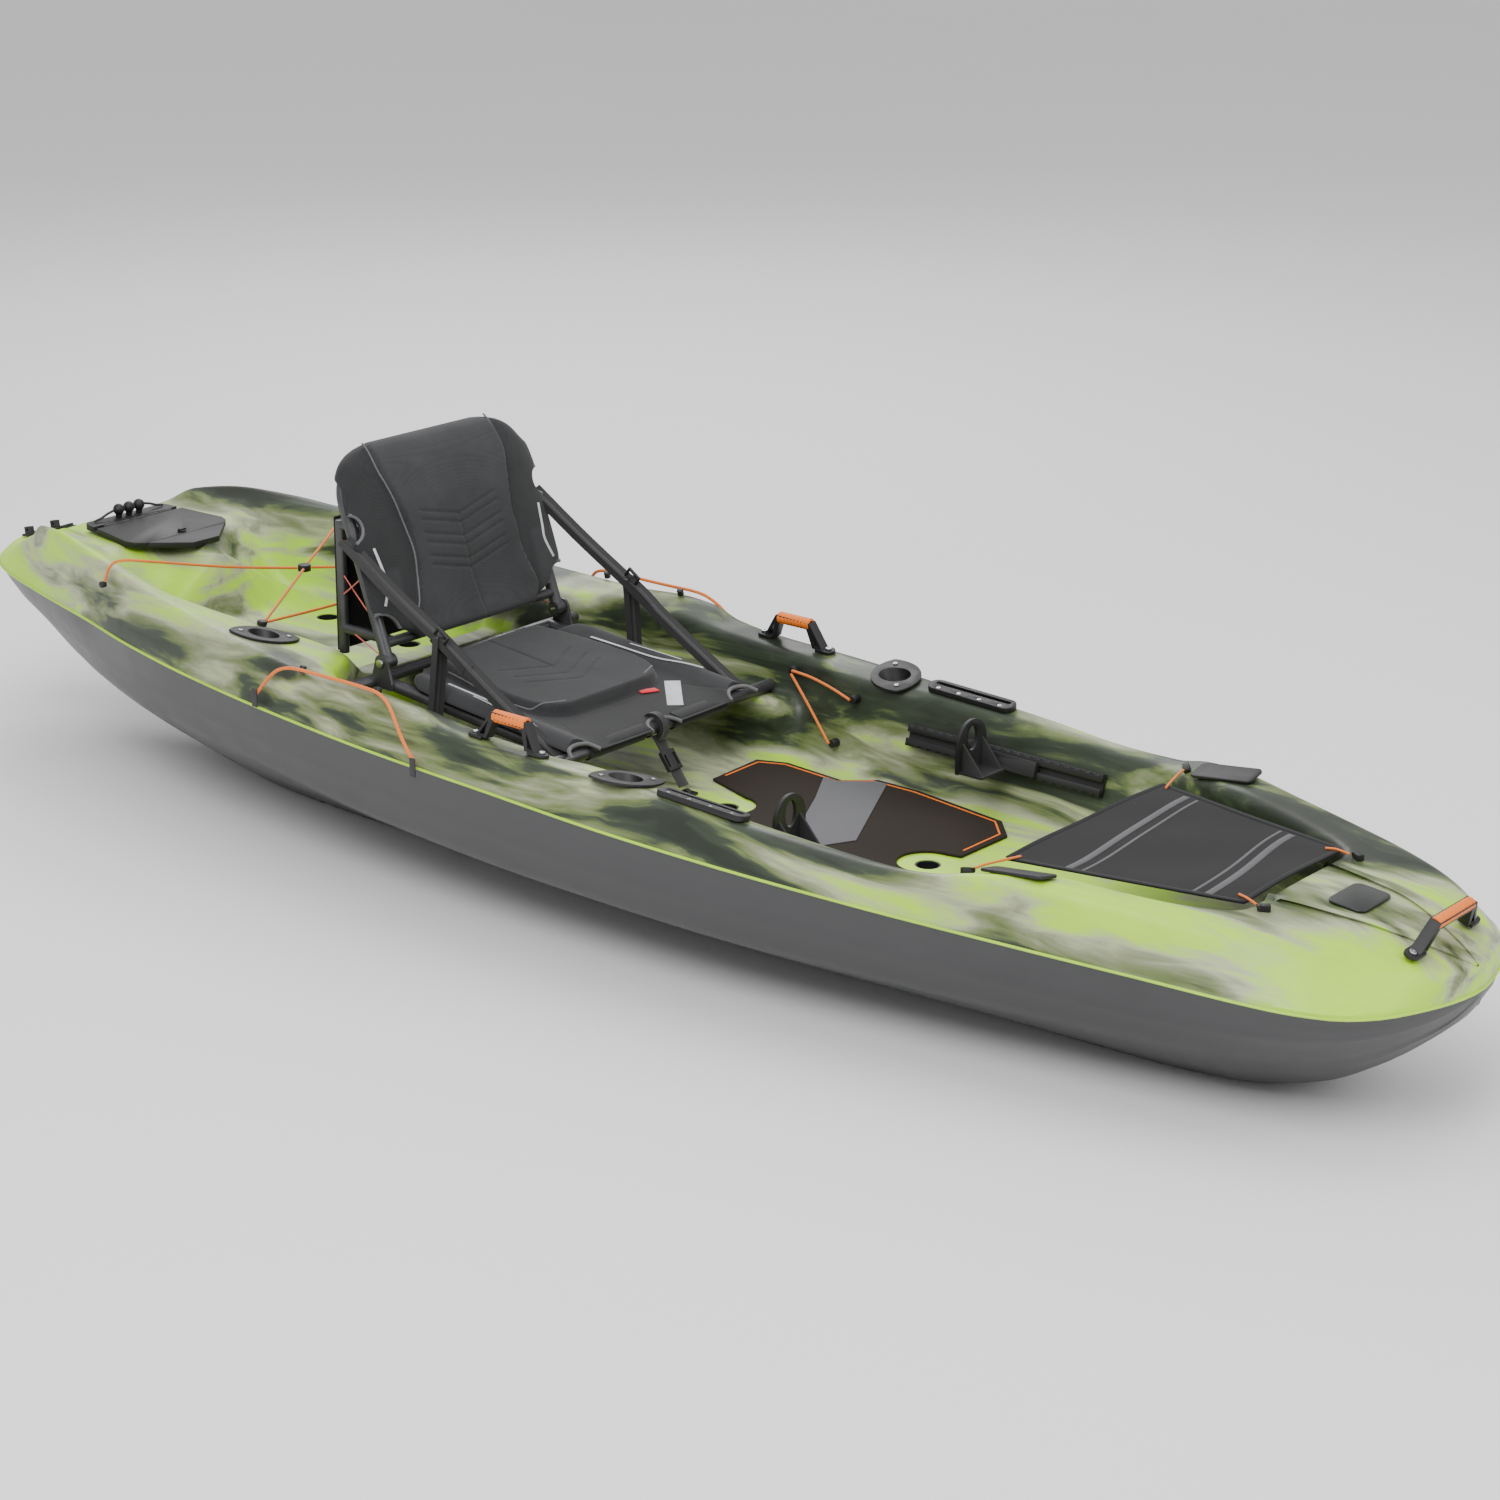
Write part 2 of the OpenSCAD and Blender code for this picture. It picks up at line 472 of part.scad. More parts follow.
// Flush rod holders: a pointed oval flange and a leaning tube.
flange_l = 124;
flange_w = 88;
flange_t = 4;
flange_turn = 52;
flange_in = 12;
module lens(l, w, h) {
  r = (l * l / 4 + w * w / 4) / w;
  intersection_for (s = sides) translate([0, s * (r - w / 2), 0]) cylinder(r = r, h = h);
}
module rod_holder(x, s) color("#1b1c1e") at_rod(x, s) difference() {
  union() {
    translate([0, 0, 1]) rotate([0, 0, s * -flange_turn]) lens(flange_l, flange_w, flange_t);
    intersection() {
      rod_frame() translate([0, 0, -rod_depth - flange_in]) cylinder(d = rod_out, h = rod_depth + 80);
      translate([-150, -150, -300]) cube([300, 300, 300 + 2]);
    }
  }
  rod_frame() translate([0, 0, -rod_depth - flange_in - 1]) cylinder(d = rod_bore_d, h = 200);
  rod_frame() translate([0, 0, -flange_in]) cylinder(d = rod_bore_d + 2, h = 100);
}
module rod_holder_front_left() { rod_holder(rod_front_x, 1); }
module rod_holder_front_right() { rod_holder(rod_front_x, -1); }
module rod_holder_rear_left() { rod_holder(-rod_rear_x, 1); }
module rod_holder_rear_right() { rod_holder(-rod_rear_x, -1); }
module rod_holder_screws() color("silver") for (r = rod_sites) at_rod(r[0], r[1])
  rotate([0, 0, r[1] * -flange_turn]) for (s = sides)
    translate([s * (flange_l / 2 - 20), 0, 1 + flange_t + 0.1]) screw_head(8, 2);

// Pads on the rails at the cover's aft corners.
cover_pad_x = bow_x - 597;
cover_pad_l = 112;
cover_pad_w = 46;
module cover_pads() color("#1f2022") for (s = sides)
  on_rail(cover_pad_x, rail_mid(cover_pad_x), s, 45, 0.4) linear_extrude(5) offset(r = 10)
    square([cover_pad_l - 20, cover_pad_w - 20], center = true);

// Fabric cover stretched over the bow well between four hooks.
cover_aft = bow_x - 672;
cover_fore = bow_x - 304;
cover_z = inner_at(1100)[1] - 8;
cover_t = 3;
module bow_cover() color("#2c2d30") hull() for (s = sides) {
  translate([cover_aft + 12, s * (cover_w_aft / 2 - 12), cover_z]) cylinder(r = 12, h = cover_t);
  translate([cover_fore - 12, s * (cover_w_fore / 2 - 12), cover_z]) cylinder(r = 12, h = cover_t);
}
hook_l = 22;
hook_w = 11;
hook_h = 9;
hook_aft_x = cover_aft - 4;
hook_fore_x = bow_x - 278;
module hook_body() difference() {
  union() {
    translate([-hook_l / 2, -hook_w / 2, 0]) cube([hook_l * 0.6, hook_w, hook_h]);
    translate([hook_l * 0.2, 0, hook_h / 2]) rotate([90, 0, 0]) cylinder(d = hook_h, h = hook_w, center = true);
  }
  translate([hook_l * 0.2, 0, hook_h / 2]) rotate([90, 0, 0]) cylinder(d = 4.4, h = hook_w + 2, center = true);
}
module at_hook_aft(s) { on_rail(hook_aft_x, inner_at(plan_x(hook_aft_x))[0] + 14, s, 20, 1)
  rotate([0, 0, s * -60]) children(); }
module at_hook_fore(s) {
  y = cover_w_fore / 2 - 8;
  translate([hook_fore_x, s * y, bow_z(hook_fore_x, y) - 2.4]) rotate([0, 0, 180 - s * 35]) children();
}
module cover_hooks() color("#151617") for (s = sides) {
  at_hook_aft(s) hook_body();
  at_hook_fore(s) hook_body();
}
// Cords from the cover's corners to the hooks.
cover_cord_aft = [[934, 200, 320], [925, 232, 321], [917, 264, 322], [912, 287, 321]];
cover_cord_fore = [[1262, 124, 320], [1276, 129, 320.4], [1288, 132, 318.4], [1297.5, 134, 316]];
module cover_cords() color("#ff8a2a") for (s = sides) {
  cord(flip(cover_cord_aft, s), 4);
  cord(flip(cover_cord_fore, s), 4);
}

badge_x = bow_x - 198;
badge_l = 62;
badge_w = 92;
module badge() color("#1f2022")
  translate([badge_x, 0, bow_z(badge_x, badge_w / 2)])
    rotate([0, atan2(floor_z(badge_x - 30) - floor_z(badge_x + 30), 60), 0])
      translate([0, 0, 0.8]) linear_extrude(4) offset(r = 14) square([badge_l - 28, badge_w - 28], center = true);

// Deck pad: notched round the two scuppers on the centre line.
pad_t = 5;
pad_gap = 0.6;
pad_notch_r = 50;
pad_half = [[104, 98], [98, 212], [150, 234], [278, 222], [325, 264], [412, 264], [604, 232],
  [650, 182], [648, 66]];
module mirrored(p) polygon(concat(p, [for (i = [len(p) - 1:-1:0]) [p[i][0], -p[i][1]]]));
module floor_pad() color("#2b2826") translate([0, 0, floor_h + pad_gap]) linear_extrude(pad_t)
  difference() {
    mirrored(pad_half);
    translate([scuppers[0][0], 0]) circle(r = pad_notch_r);
    polygon([[90, 90], [scuppers[0][0], pad_notch_r], [scuppers[0][0], -pad_notch_r], [90, -90]]);
    translate([scuppers[1][0], 0]) circle(r = pad_notch_r);
    polygon([[665, 60], [scuppers[1][0], pad_notch_r], [scuppers[1][0], -pad_notch_r], [665, -60]]);
  }
inlay_t = 1.5;
module floor_inlay() color("#6d6e75") translate([0, 0, floor_h + pad_gap + pad_t + seat_gap])
  linear_extrude(inlay_t) mirrored([[362, 0], [300, 120], [246, 212], [278, 210], [330, 252], [352, 252],
    [478, 0]]);

// Foot brace rails on the cockpit walls, with a slide that carries each pedal.
rail_t = 14;
rail_w = 38;
rail_at_z = floor_h + 84;
function wall_y(x, z) =
  let (b = inner_at(plan_x(x)), e = foot_at(plan_x(x))) mix(e[0], b[0], (z - e[1]) / (b[1] - e[1]));
rail_aft_y = wall_y(foot_rail_x - foot_rail_len / 2, rail_at_z);
rail_fore_y = wall_y(foot_rail_x + foot_rail_len / 2, rail_at_z);
rail_yaw = atan2(rail_fore_y - rail_aft_y, foot_rail_len);
rail_lean = 16;
wall_gap = 3;
groove_w = 20;
groove_d = 5;
mouth_w = 11;
// The rail's own frame: +X to the bow, +Y inboard, +Z up the wall.
module at_foot_rail(s) {
  translate([foot_rail_x, s * ((rail_aft_y + rail_fore_y) / 2 - wall_gap), rail_at_z])
    rotate([0, 0, s * rail_yaw]) rotate([s * -rail_lean, 0, 0]) mirror([0, s > 0 ? 1 : 0, 0]) children();
}
module foot_rail() difference() {
  translate([-foot_rail_len / 2, 0, -rail_w / 2]) cube([foot_rail_len, rail_t, rail_w]);
  translate([-foot_rail_len, rail_t - 3 - groove_d, -groove_w / 2])
    cube([2 * foot_rail_len, groove_d, groove_w]);
  translate([-foot_rail_len, rail_t - 4, -mouth_w / 2]) cube([2 * foot_rail_len, 10, mouth_w]);
  notch_n = floor(foot_rail_len / 20) - 1;
  for (i = [0:notch_n]) for (s = sides)
    translate([-foot_rail_len / 2 + 10 + i * 20, rail_t, s * (rail_w / 2)]) cube([8, 6, 6], center = true);
}
module foot_rail_left() color("#1f2022") at_foot_rail(1) foot_rail();
module foot_rail_right() color("#1f2022") at_foot_rail(-1) foot_rail();
sled_l = 106;
slide_gap = 0.3;
pedal_w = 86;
pedal_r = 40;
pedal_up = 34;
module foot_pedal() {
  translate([-sled_l * 0.3, 0, 0]) {
    translate([0, rail_t - 3 - groove_d + slide_gap, -groove_w / 2 + slide_gap])
      cube([sled_l, groove_d - 2 * slide_gap, groove_w - 2 * slide_gap]);
    translate([0, rail_t - 4, -mouth_w / 2 + slide_gap]) cube([sled_l, 5, mouth_w - 2 * slide_gap]);
    translate([0, rail_t + slide_gap, -15]) cube([sled_l, 9, 26]);
  }
  translate([-sled_l * 0.3, rail_t + 9, 0]) rotate([-rail_lean, 0, 0]) {
    rotate([90, 0, 90]) linear_extrude(6) difference() {
      union() {
        translate([0, -14]) square([pedal_w - 8, pedal_up + 14]);
        translate([(pedal_w - 8) / 2, pedal_up]) scale([(pedal_w - 8) / 2 / pedal_r, 1]) circle(r = pedal_r);
      }
      translate([(pedal_w - 8) / 2, pedal_up + 8]) scale([0.62, 1]) circle(r = pedal_r * 0.55);
    }
    for (y = [10, pedal_w - 22]) translate([5, y, -12]) rotate([90, 0, 0])
      linear_extrude(4, center = true) polygon([[0, 0], [44, 0], [0, 50]]);
    translate([5, 0, -14]) cube([46, pedal_w - 14, 4]);
  }
}
module foot_pedal_left() color("#26272a") at_foot_rail(1) foot_pedal();
module foot_pedal_right() color("#26272a") at_foot_rail(-1) foot_pedal();

// Elastic paddle keepers over each rail beside the seat, from webbing tabs at the gunwale.
paddle_route = [[-490, 409, 326], [-474, 409, 344], [-458, 407, 362], [-440, 402, 377],
  [-412, 397, 384], [-360, 396, 385], [-300, 395, 385], [-245, 396, 385], [-208, 400, 384],
  [-182, 407, 378], [-160, 415, 364], [-142, 422, 346], [-124, 428, 328], [-104, 433, 310],
  [-90, 436, 298]];
module paddle_cords() color("#ff8a2a") for (s = sides) cord(flip(paddle_route, s));
module cord_loops() color("#77787c") for (s = sides) for (e = [0, len(paddle_route) - 1]) {
  p = paddle_route[e];
  translate([p[0], s * (p[1] + cord_d / 2 + 2), p[2] - 6]) cube([12, 3, 32], center = true);
}
module paddle_hooks() color("#151617") for (s = sides) {
  on_rail(-222, 396 - cord_d / 2 - 7, s, 20, -1) cylinder(d = 12, h = 11);
  on_rail(-400, 396 - cord_d / 2 - 7, s, 20, -2.2) cylinder(d = 12, h = 12);
}

// Elastic leash lines on the cockpit walls ahead of the seat.
wall_eye = [92, 316, 312];
wall_high = [243, 292, 296];
wall_low = [212, 276, 214];
module wall_cords() color("#ff8a2a") for (s = sides) {
  cord(flip([wall_eye + [3, -3, 2], [140, 309, 312], [190, 300, 306], wall_high + [-3, -3, 1]], s), 5);
  cord(flip([wall_eye + [1, -3, -4.5], [150, 293, 264], wall_low + [-3, -3.5, 1]], s), 5);
}
module wall_hooks() color("#151617") for (s = sides) {
  for (p = [wall_eye, wall_high, wall_low]) {
    y = wall_y(p[0], p[2]);
    translate([p[0], s * (y - 1.5), p[2]]) rotate([s * 90, 0, 0]) cylinder(d = 15, h = y - p[1] - 1.5);
  }
}

// Elastic lacing over the tank well: four corner hooks and a clip where the cords cross.
tank_rear = [-992, 313, 404];
tank_fore = [-648, 237, 384];
tank_mid = [-800, 0, 404];
module tank_cords() color("#ff8a2a") for (s = sides) {
  cord(flip([tank_rear + [4, -1, 6], [-978, 306, 438], [-966, 288, 448], [-935, 240, 441],
    [-870, 120, 418], tank_mid + [-8.2, 10.2, 0]], s), 5);
  cord(flip([tank_mid + [8.2, 10.2, 0], [-720, 124, 395], tank_fore + [-3.4, -0.8, 0]], s), 5);
  if (s > 0) cord([tank_fore + [3, 0, 0], [-643, 120, 381], [-642, 0, 380], [-643, -120, 381],
    [tank_fore[0] + 3, -tank_fore[1], tank_fore[2]]], 5);
}
module tank_hooks() color("#151617") {
  translate(tank_mid + [0, 0, -6]) cylinder(d = 24, h = 12);
  for (s = sides) {
    translate([tank_rear[0], s * tank_rear[1], tank_rear[2]]) rotate([s * 90, 0, 0])
      cylinder(d = 12, h = 10, center = true);
    on_rail(tank_fore[0], 248, s, 20, 1) cylinder(d = 18, h = 8);
  }
}

// Stern bracket: a base plate with two lugs.
stern_fit_x = stern_x + 42;
module stern_fitting() color("#1b1c1e")
  translate([stern_fit_x, 0, floor_z(stern_fit_x - 12)])
    rotate([0, -deck_pitch(stern_fit_x), 0]) translate([0, 0, 3]) {
      translate([-13, -42, 0]) cube([26, 84, 5]);
      for (s = sides) translate([0, s * 32, 4]) difference() {
        translate([-9, -5, 0]) cube([18, 10, 14]);
        translate([0, 0, 8]) rotate([90, 0, 0]) cylinder(d = 6, h = 12, center = true);
      }
    }

// Stern hatch: a base plate with a rear strip and a fixed nose, and a lid hinged between them.
hatch_aft = stern_x + 290;
hatch_hinge = stern_x + 328;
hatch_wide = stern_x + 440;
hatch_split = stern_x + 466;
hatch_fore = stern_x + 522;
hatch_drop = 3;
hatch_plate = 3;
hatch_t = 8;
hatch_pin_d = 4;
hatch_pin_fit = 0.05;
hatch_pin_z = hatch_plate + 4.6;
knuckle_d = 8.6;
hatch_tilt = 2.6;
latch_x = hatch_split - 12;
latch_d = 16;
latch_stem = 8;
latch_fit = 0.08;
module at_hatch() {
  translate([hatch_hinge, 0, floor_z(hatch_aft + 60) + hatch_drop + 1.4]) rotate([0, hatch_tilt, 0])
    translate([-hatch_hinge, 0, 0]) children();
}
module hatch_outline(inset = 0) offset(delta = -inset) mirrored([[hatch_aft, 94], [hatch_aft + 8, 100],
  [hatch_wide - 8, 120], [hatch_wide + 10, 114], [hatch_fore, 32]]);
module hatch_slice(x0, x1) intersection() {
  hatch_outline();
  translate([x0, -200]) square([x1 - x0, 400]);
}
module knuckles(at, way) for (y = at) translate([hatch_hinge, y[0], hatch_pin_z]) {
  rotate([-90, 0, 0]) cylinder(d = knuckle_d, h = y[1] - y[0]);
  translate([way > 0 ? 0 : -9, 0, way > 0 ? -2 : -4.6]) cube([9, y[1] - y[0], way > 0 ? 4 : 6]);
}
module hatch_pin_bore() translate([hatch_hinge, 0, hatch_pin_z]) rotate([90, 0, 0])
  cylinder(d = hatch_pin_d + 2 * hatch_pin_fit, h = 300, center = true);
module hatch_base() color("#1f2022") at_hatch() difference() {
  union() {
    linear_extrude(hatch_plate) difference() {
      hatch_outline();
      intersection() {
        hatch_outline(14);
        translate([hatch_hinge + 12, -200]) square([hatch_split - hatch_hinge - 26, 400]);
      }
    }
    linear_extrude(hatch_plate + hatch_t) hatch_slice(hatch_aft - 10, hatch_hinge - 6);
    linear_extrude(hatch_plate + hatch_t) hatch_slice(hatch_split + 1, hatch_fore + 10);
    knuckles([[-84, -52], [-18, 18], [52, 84]], -1);
  }
  hatch_pin_bore();
}
module hatch_lid() color("#232427") at_hatch() difference() {
  union() {
    translate([0, 0, hatch_plate + 0.4]) linear_extrude(hatch_t - 0.4)
      hatch_slice(hatch_hinge + 6, hatch_split);
    knuckles([[-51.4, -18.6], [18.6, 51.4]], 1);
  }
  hatch_pin_bore();
  translate([latch_x, 0, hatch_plate - 10]) cylinder(d = latch_stem + 2 * latch_fit, h = 40);
}
module hatch_pin() color("silver") at_hatch() translate([hatch_hinge, 0, hatch_pin_z]) rotate([90, 0, 0])
  cylinder(d = hatch_pin_d, h = 166, center = true);
module hatch_latch() color("#55565a") at_hatch() translate([latch_x, 0, hatch_plate]) {
  translate([0, 0, 0.6]) cylinder(d = latch_stem, h = hatch_t);
  translate([0, 0, hatch_t + seat_gap]) cylinder(d = latch_d, h = 3);
  translate([-3, -latch_d / 2, hatch_t + seat_gap]) cube([6, latch_d, 6]);
}
toggle_y = 25;
toggle_d = 22;
toggle_x = hatch_aft + 13;
hatch_top = hatch_plate + hatch_t;
module toggle_balls() color("#151617") at_hatch() for (k = [-1:1])
  translate([toggle_x, k * toggle_y, hatch_top + 0.4]) {
    cylinder(d = 12, h = 8);
    translate([0, 0, 15]) sphere(d = toggle_d);
  }
toggle_route = [[toggle_x, 84, hatch_top + 3.1], [toggle_x, 68, hatch_top + 6], [toggle_x, 52, hatch_top + 12],
  [toggle_x, toggle_y + toggle_d / 2 + 1.2, hatch_top + 15.4]];
module toggle_cords() color("#26272a") at_hatch() for (s = sides) cord(flip(toggle_route, s), 5);

// Floor eye and webbing that hold the seat's front tube down.
front_tube = [48, 280];
eye_x = 118;
module strap_eye() color("#2a2b2e") translate([eye_x, 0, floor_h + 0.6]) difference() {
  union() {
    translate([-11, -17, 0]) cube([22, 34, 4]);
    translate([0, 0, 3]) rotate([90, 0, 0]) cylinder(d = 18, h = 8, center = true);
  }
  translate([0, 0, 6]) rotate([90, 0, 0]) cylinder(d = 6, h = 12, center = true);
  translate([-20, -20, -20]) cube([40, 40, 20]);
}
strap_w = 25;
strap_t = 2;
strap_top = [front_tube[0] + 4, 0, front_tube[1] - tube_d / 2 - 2.4];
strap_end = [eye_x - 6, 0, floor_h + 16];
strap_run = norm(strap_end - strap_top);
strap_pitch = atan2(strap_top[2] - strap_end[2], strap_end[0] - strap_top[0]);
module front_strap() color("#17181a") difference() {
  translate(strap_top) rotate([0, strap_pitch, 0]) translate([0, -strap_w / 2, -1])
    cube([strap_run, strap_w, strap_t]);
  translate(strap_top) rotate([0, strap_pitch, 0]) translate([strap_run / 2 - 19, -30, -5])
    cube([38, 60, 20]);
}
module front_buckle() color("#232427") translate(strap_top) rotate([0, strap_pitch, 0])
  translate([strap_run / 2, 0, 0]) difference() {
    translate([-18.6, -16, -4]) cube([37.2, 32, 9]);
    for (s = sides) translate([0, s * 11, 0]) cube([22, 5, 20], center = true);
  }

// Seat frame. The hinge of the back is at the rear of the base.
tube_r = tube_d / 2;
hinge_z = 362;
hinge_x = front_tube[0] - seat_depth + 2;
half_w = seat_w / 2;
base_rear = [hinge_x - 22, 326];
base_slope = atan2(base_rear[1] - front_tube[1], front_tube[0] - base_rear[0]);
bolt_d = 8;
bolt_fit = 0.05;
plate_t = 5;
plate_gap = 0.5;
rest_y = 285;
front_y = 312;
function base_z(x) = mix(base_rear[1], front_tube[1], (x - base_rear[0]) / (front_tube[0] - base_rear[0]));
module seat_base_frame() color("#4a4b4f") difference() {
  union() {
    bar([front_tube[0], -front_y, front_tube[1]], [front_tube[0], front_y, front_tube[1]], tube_d);
    bar([base_rear[0], -rest_y, base_rear[1]], [base_rear[0], rest_y, base_rear[1]], tube_d);
    for (s = sides) {
      bar([base_rear[0], s * half_w, base_rear[1]], [front_tube[0], s * half_w, front_tube[1]], tube_d);
      bar([base_rear[0], s * leg_y, leg_low], [base_rear[0], s * leg_y, base_rear[1]], 20);
      translate([0, s * (half_w + tube_r + plate_gap + plate_t / 2), 0]) rotate([90, 0, 0])
        linear_extrude(plate_t, center = true) union() {
          translate([hinge_x, hinge_z]) circle(r = 15);
          polygon([[hinge_x - 15, hinge_z], [hinge_x + 15, hinge_z],
            [hinge_x + 26, base_z(hinge_x + 26)], [hinge_x - 26, base_z(hinge_x - 26)]]);
        }
      translate([hinge_x, s * (half_w + tube_r - 2), base_z(hinge_x) - 1])
        cube([50, 2 * (plate_gap + plate_t + 2), 12], center = true);
    }
  }
  translate([hinge_x, 0, hinge_z]) rotate([90, 0, 0])
    cylinder(d = bolt_d + 2 * bolt_fit, h = 2 * seat_w, center = true);
}
bolt_in = half_w - tube_r - 2;
bolt_out = half_w + tube_r + plate_gap + plate_t + 0.4;
module hinge_bolts() color("silver") for (s = sides) translate([hinge_x, 0, hinge_z]) {
  rotate([s * -90, 0, 0]) translate([0, 0, bolt_in]) cylinder(d = bolt_d, h = bolt_out - bolt_in);
  rotate([s * -90, 0, 0]) translate([0, 0, bolt_out]) cylinder(d = 15, h = 5);
}

pad_clear = 1;
cushion_back = hinge_x + 18;
cushion_front = front_tube[0] + 26;
module rounded_slab(l, w, t, r) hull() for (x = sides) for (y = sides)
  translate([x * (l / 2 - r), y * (w / 2 - r), 0]) cylinder(r = r, h = t, $fn = 20);
module seat_cushion() color("#3b3c40")
  translate([(cushion_back + cushion_front) / 2, 0, base_z((cushion_back + cushion_front) / 2)])
    rotate([0, base_slope, 0]) translate([0, 0, tube_r + pad_clear])
      rounded_slab(cushion_front - cushion_back, seat_w + 2 * tube_r + 14, base_pad_t, 22);
module seat_tag() color("#c81e28")
  translate([-66, 70, base_z(-66)]) rotate([0, base_slope, 0])
    translate([0, 0, tube_r + pad_clear + base_pad_t + 0.4]) cube([16, 30, 1.5], center = false);

// The back's own frame: hinge at the origin, +Z up the back, +X forward.
module at_back() { translate([hinge_x, 0, hinge_z]) rotate([0, -back_lean, 0]) children(); }
bend_r = 70;
stand_gap = 52;
stand_y = half_w - 26;
stand_d = 18;
stand_low = -16;
stand_high = 222;
function lean_x(z) = -z * tan(back_lean);
module seat_back_frame() color("#4a4b4f") {
  difference() {
    union() {
      at_back() {
        for (s = sides) {
          translate([0, s * half_w, 0]) cylinder(d = tube_d, h = back_len - bend_r);
          translate([0, s * half_w, 0]) rotate([90, 0, 0]) cylinder(d = tube_d + 4, h = tube_d, center = true);
          translate([0, s * (half_w - bend_r), back_len - bend_r]) rotate([90, 0, s > 0 ? 90 : -90])
            rotate_extrude(angle = 90) translate([bend_r, 0]) circle(d = tube_d);
        }
        translate([0, 0, back_len]) rotate([90, 0, 0])
          cylinder(d = tube_d, h = seat_w - 2 * bend_r, center = true);
        for (z = [30, stand_high / cos(back_lean) - 8]) translate([0, 0, z]) rotate([90, 0, 0])
          cylinder(d = stand_d, h = seat_w, center = true);
      }
      for (s = sides) translate([hinge_x, s * stand_y, hinge_z]) {
        bar([lean_x(28), 0, 28], [lean_x(stand_high) - stand_gap, 0, 28], stand_d);
        bar([lean_x(stand_high - 8), 0, stand_high - 8],
          [lean_x(stand_high) - stand_gap, 0, stand_high - 8], stand_d);
        bar([lean_x(stand_high) - stand_gap, 0, stand_low],
          [lean_x(stand_high) - stand_gap, 0, stand_high], stand_d);
      }
    }
    translate([hinge_x, 0, hinge_z]) rotate([90, 0, 0])
      cylinder(d = bolt_d + 2 * bolt_fit, h = 2 * seat_w, center = true);
  }
}
back_pad_low = 92;
module back_cushion() color("#3b3c40") at_back()
  translate([tube_r + pad_clear, 0, (back_pad_low + back_len + 24) / 2]) rotate([0, 90, 0])
    rounded_slab(back_len + 24 - back_pad_low, seat_w + 2 * tube_r + 10, back_pad_t, 60);
panel_t = 4;
module rear_panel() color("#101113")
  translate([hinge_x + lean_x(stand_high) - stand_gap - stand_d / 2 - panel_t - 0.5, -stand_y - 4,
    hinge_z + stand_low + 2]) cube([panel_t, 2 * stand_y + 8, stand_high - stand_low + 2]);

// Side straps from the back's tubes to the front of the base, with a hold-down from the deck.
strap_high = 205;
strap_y = half_w + tube_r + 8.6;
side_top = [hinge_x + lean_x(strap_high), strap_y, hinge_z + strap_high];
strap_way = unit3([front_tube[0] - side_top[0], 0, front_tube[1] - side_top[2]]);
side_low = [front_tube[0], strap_y, front_tube[1]] - strap_way * (tube_r + 0.9);
side_mid = mix(side_top, side_low, 0.47);
drop_y = strap_t + 0.4;
buckle_t = 7;
strap_foot = [-221, 260, 266];
function across(a, b, w) = let (u = unit3(b - a)) unit3(cross(u, [0, 1, 0])) * w / 2;
module ribbon(a, b, w, t) {
  v = across(a, b, w);
  hull() for (p = [a, b]) for (q = sides) translate(p + v * q) cube([0.6, t, 0.6], center = true);
}
module side_straps() color("#17181a") for (s = sides) {
  up = flip([side_top, side_mid - strap_way * 2], s);
  down = flip([side_mid + strap_way * 2, side_low], s);
  drop = flip([side_mid + [0, drop_y, 8], strap_foot], s);
  ribbon(up[0], up[1], strap_w, strap_t);
  ribbon(down[0], down[1], strap_w, strap_t);
  ribbon(drop[0], drop[1], strap_w, strap_t);
}
module strap_buckles() color("#232427") for (s = sides)
  translate(flip([side_mid + [0, drop_y + strap_t + 3 + buckle_t / 2, 4]], s)[0])
  rotate([0, 28, 0]) difference() {
    cube([30, buckle_t, 36], center = true);
    for (x = sides) translate([x * 7, 0, 0]) cube([6, 20, 27], center = true);
  }

hull_bottom();
deck();
foam_blocks();
drain_socket();
drain_plug();
scupper_tubes();
side_handle_left();
side_handle_right();
side_grip_left();
side_grip_right();
bow_handle();
bow_grip();
handle_screws();
gear_track_left();
gear_track_right();
track_screws();
rod_holder_front_left();
rod_holder_front_right();
rod_holder_rear_left();
rod_holder_rear_right();
rod_holder_screws();
cover_pads();
bow_cover();
cover_hooks();
cover_cords();
badge();
floor_pad();
floor_inlay();
foot_rail_left();
foot_rail_right();
foot_pedal_left();
foot_pedal_right();
paddle_cords();
paddle_hooks();
cord_loops();
wall_cords();
wall_hooks();
tank_cords();
tank_hooks();
stern_fitting();
hatch_base();
hatch_lid();
hatch_pin();
hatch_latch();
toggle_balls();
toggle_cords();
strap_eye();
front_strap();
front_buckle();
seat_base_frame();
seat_cushion();
seat_tag();
hinge_bolts();
seat_back_frame();
back_cushion();
rear_panel();
side_straps();
strap_buckles();
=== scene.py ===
"""Finished looks for a sit-on-top fishing kayak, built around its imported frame."""
import math

import bpy
from bpy.props import FloatProperty, FloatVectorProperty, PointerProperty
from mathutils import Matrix, Vector


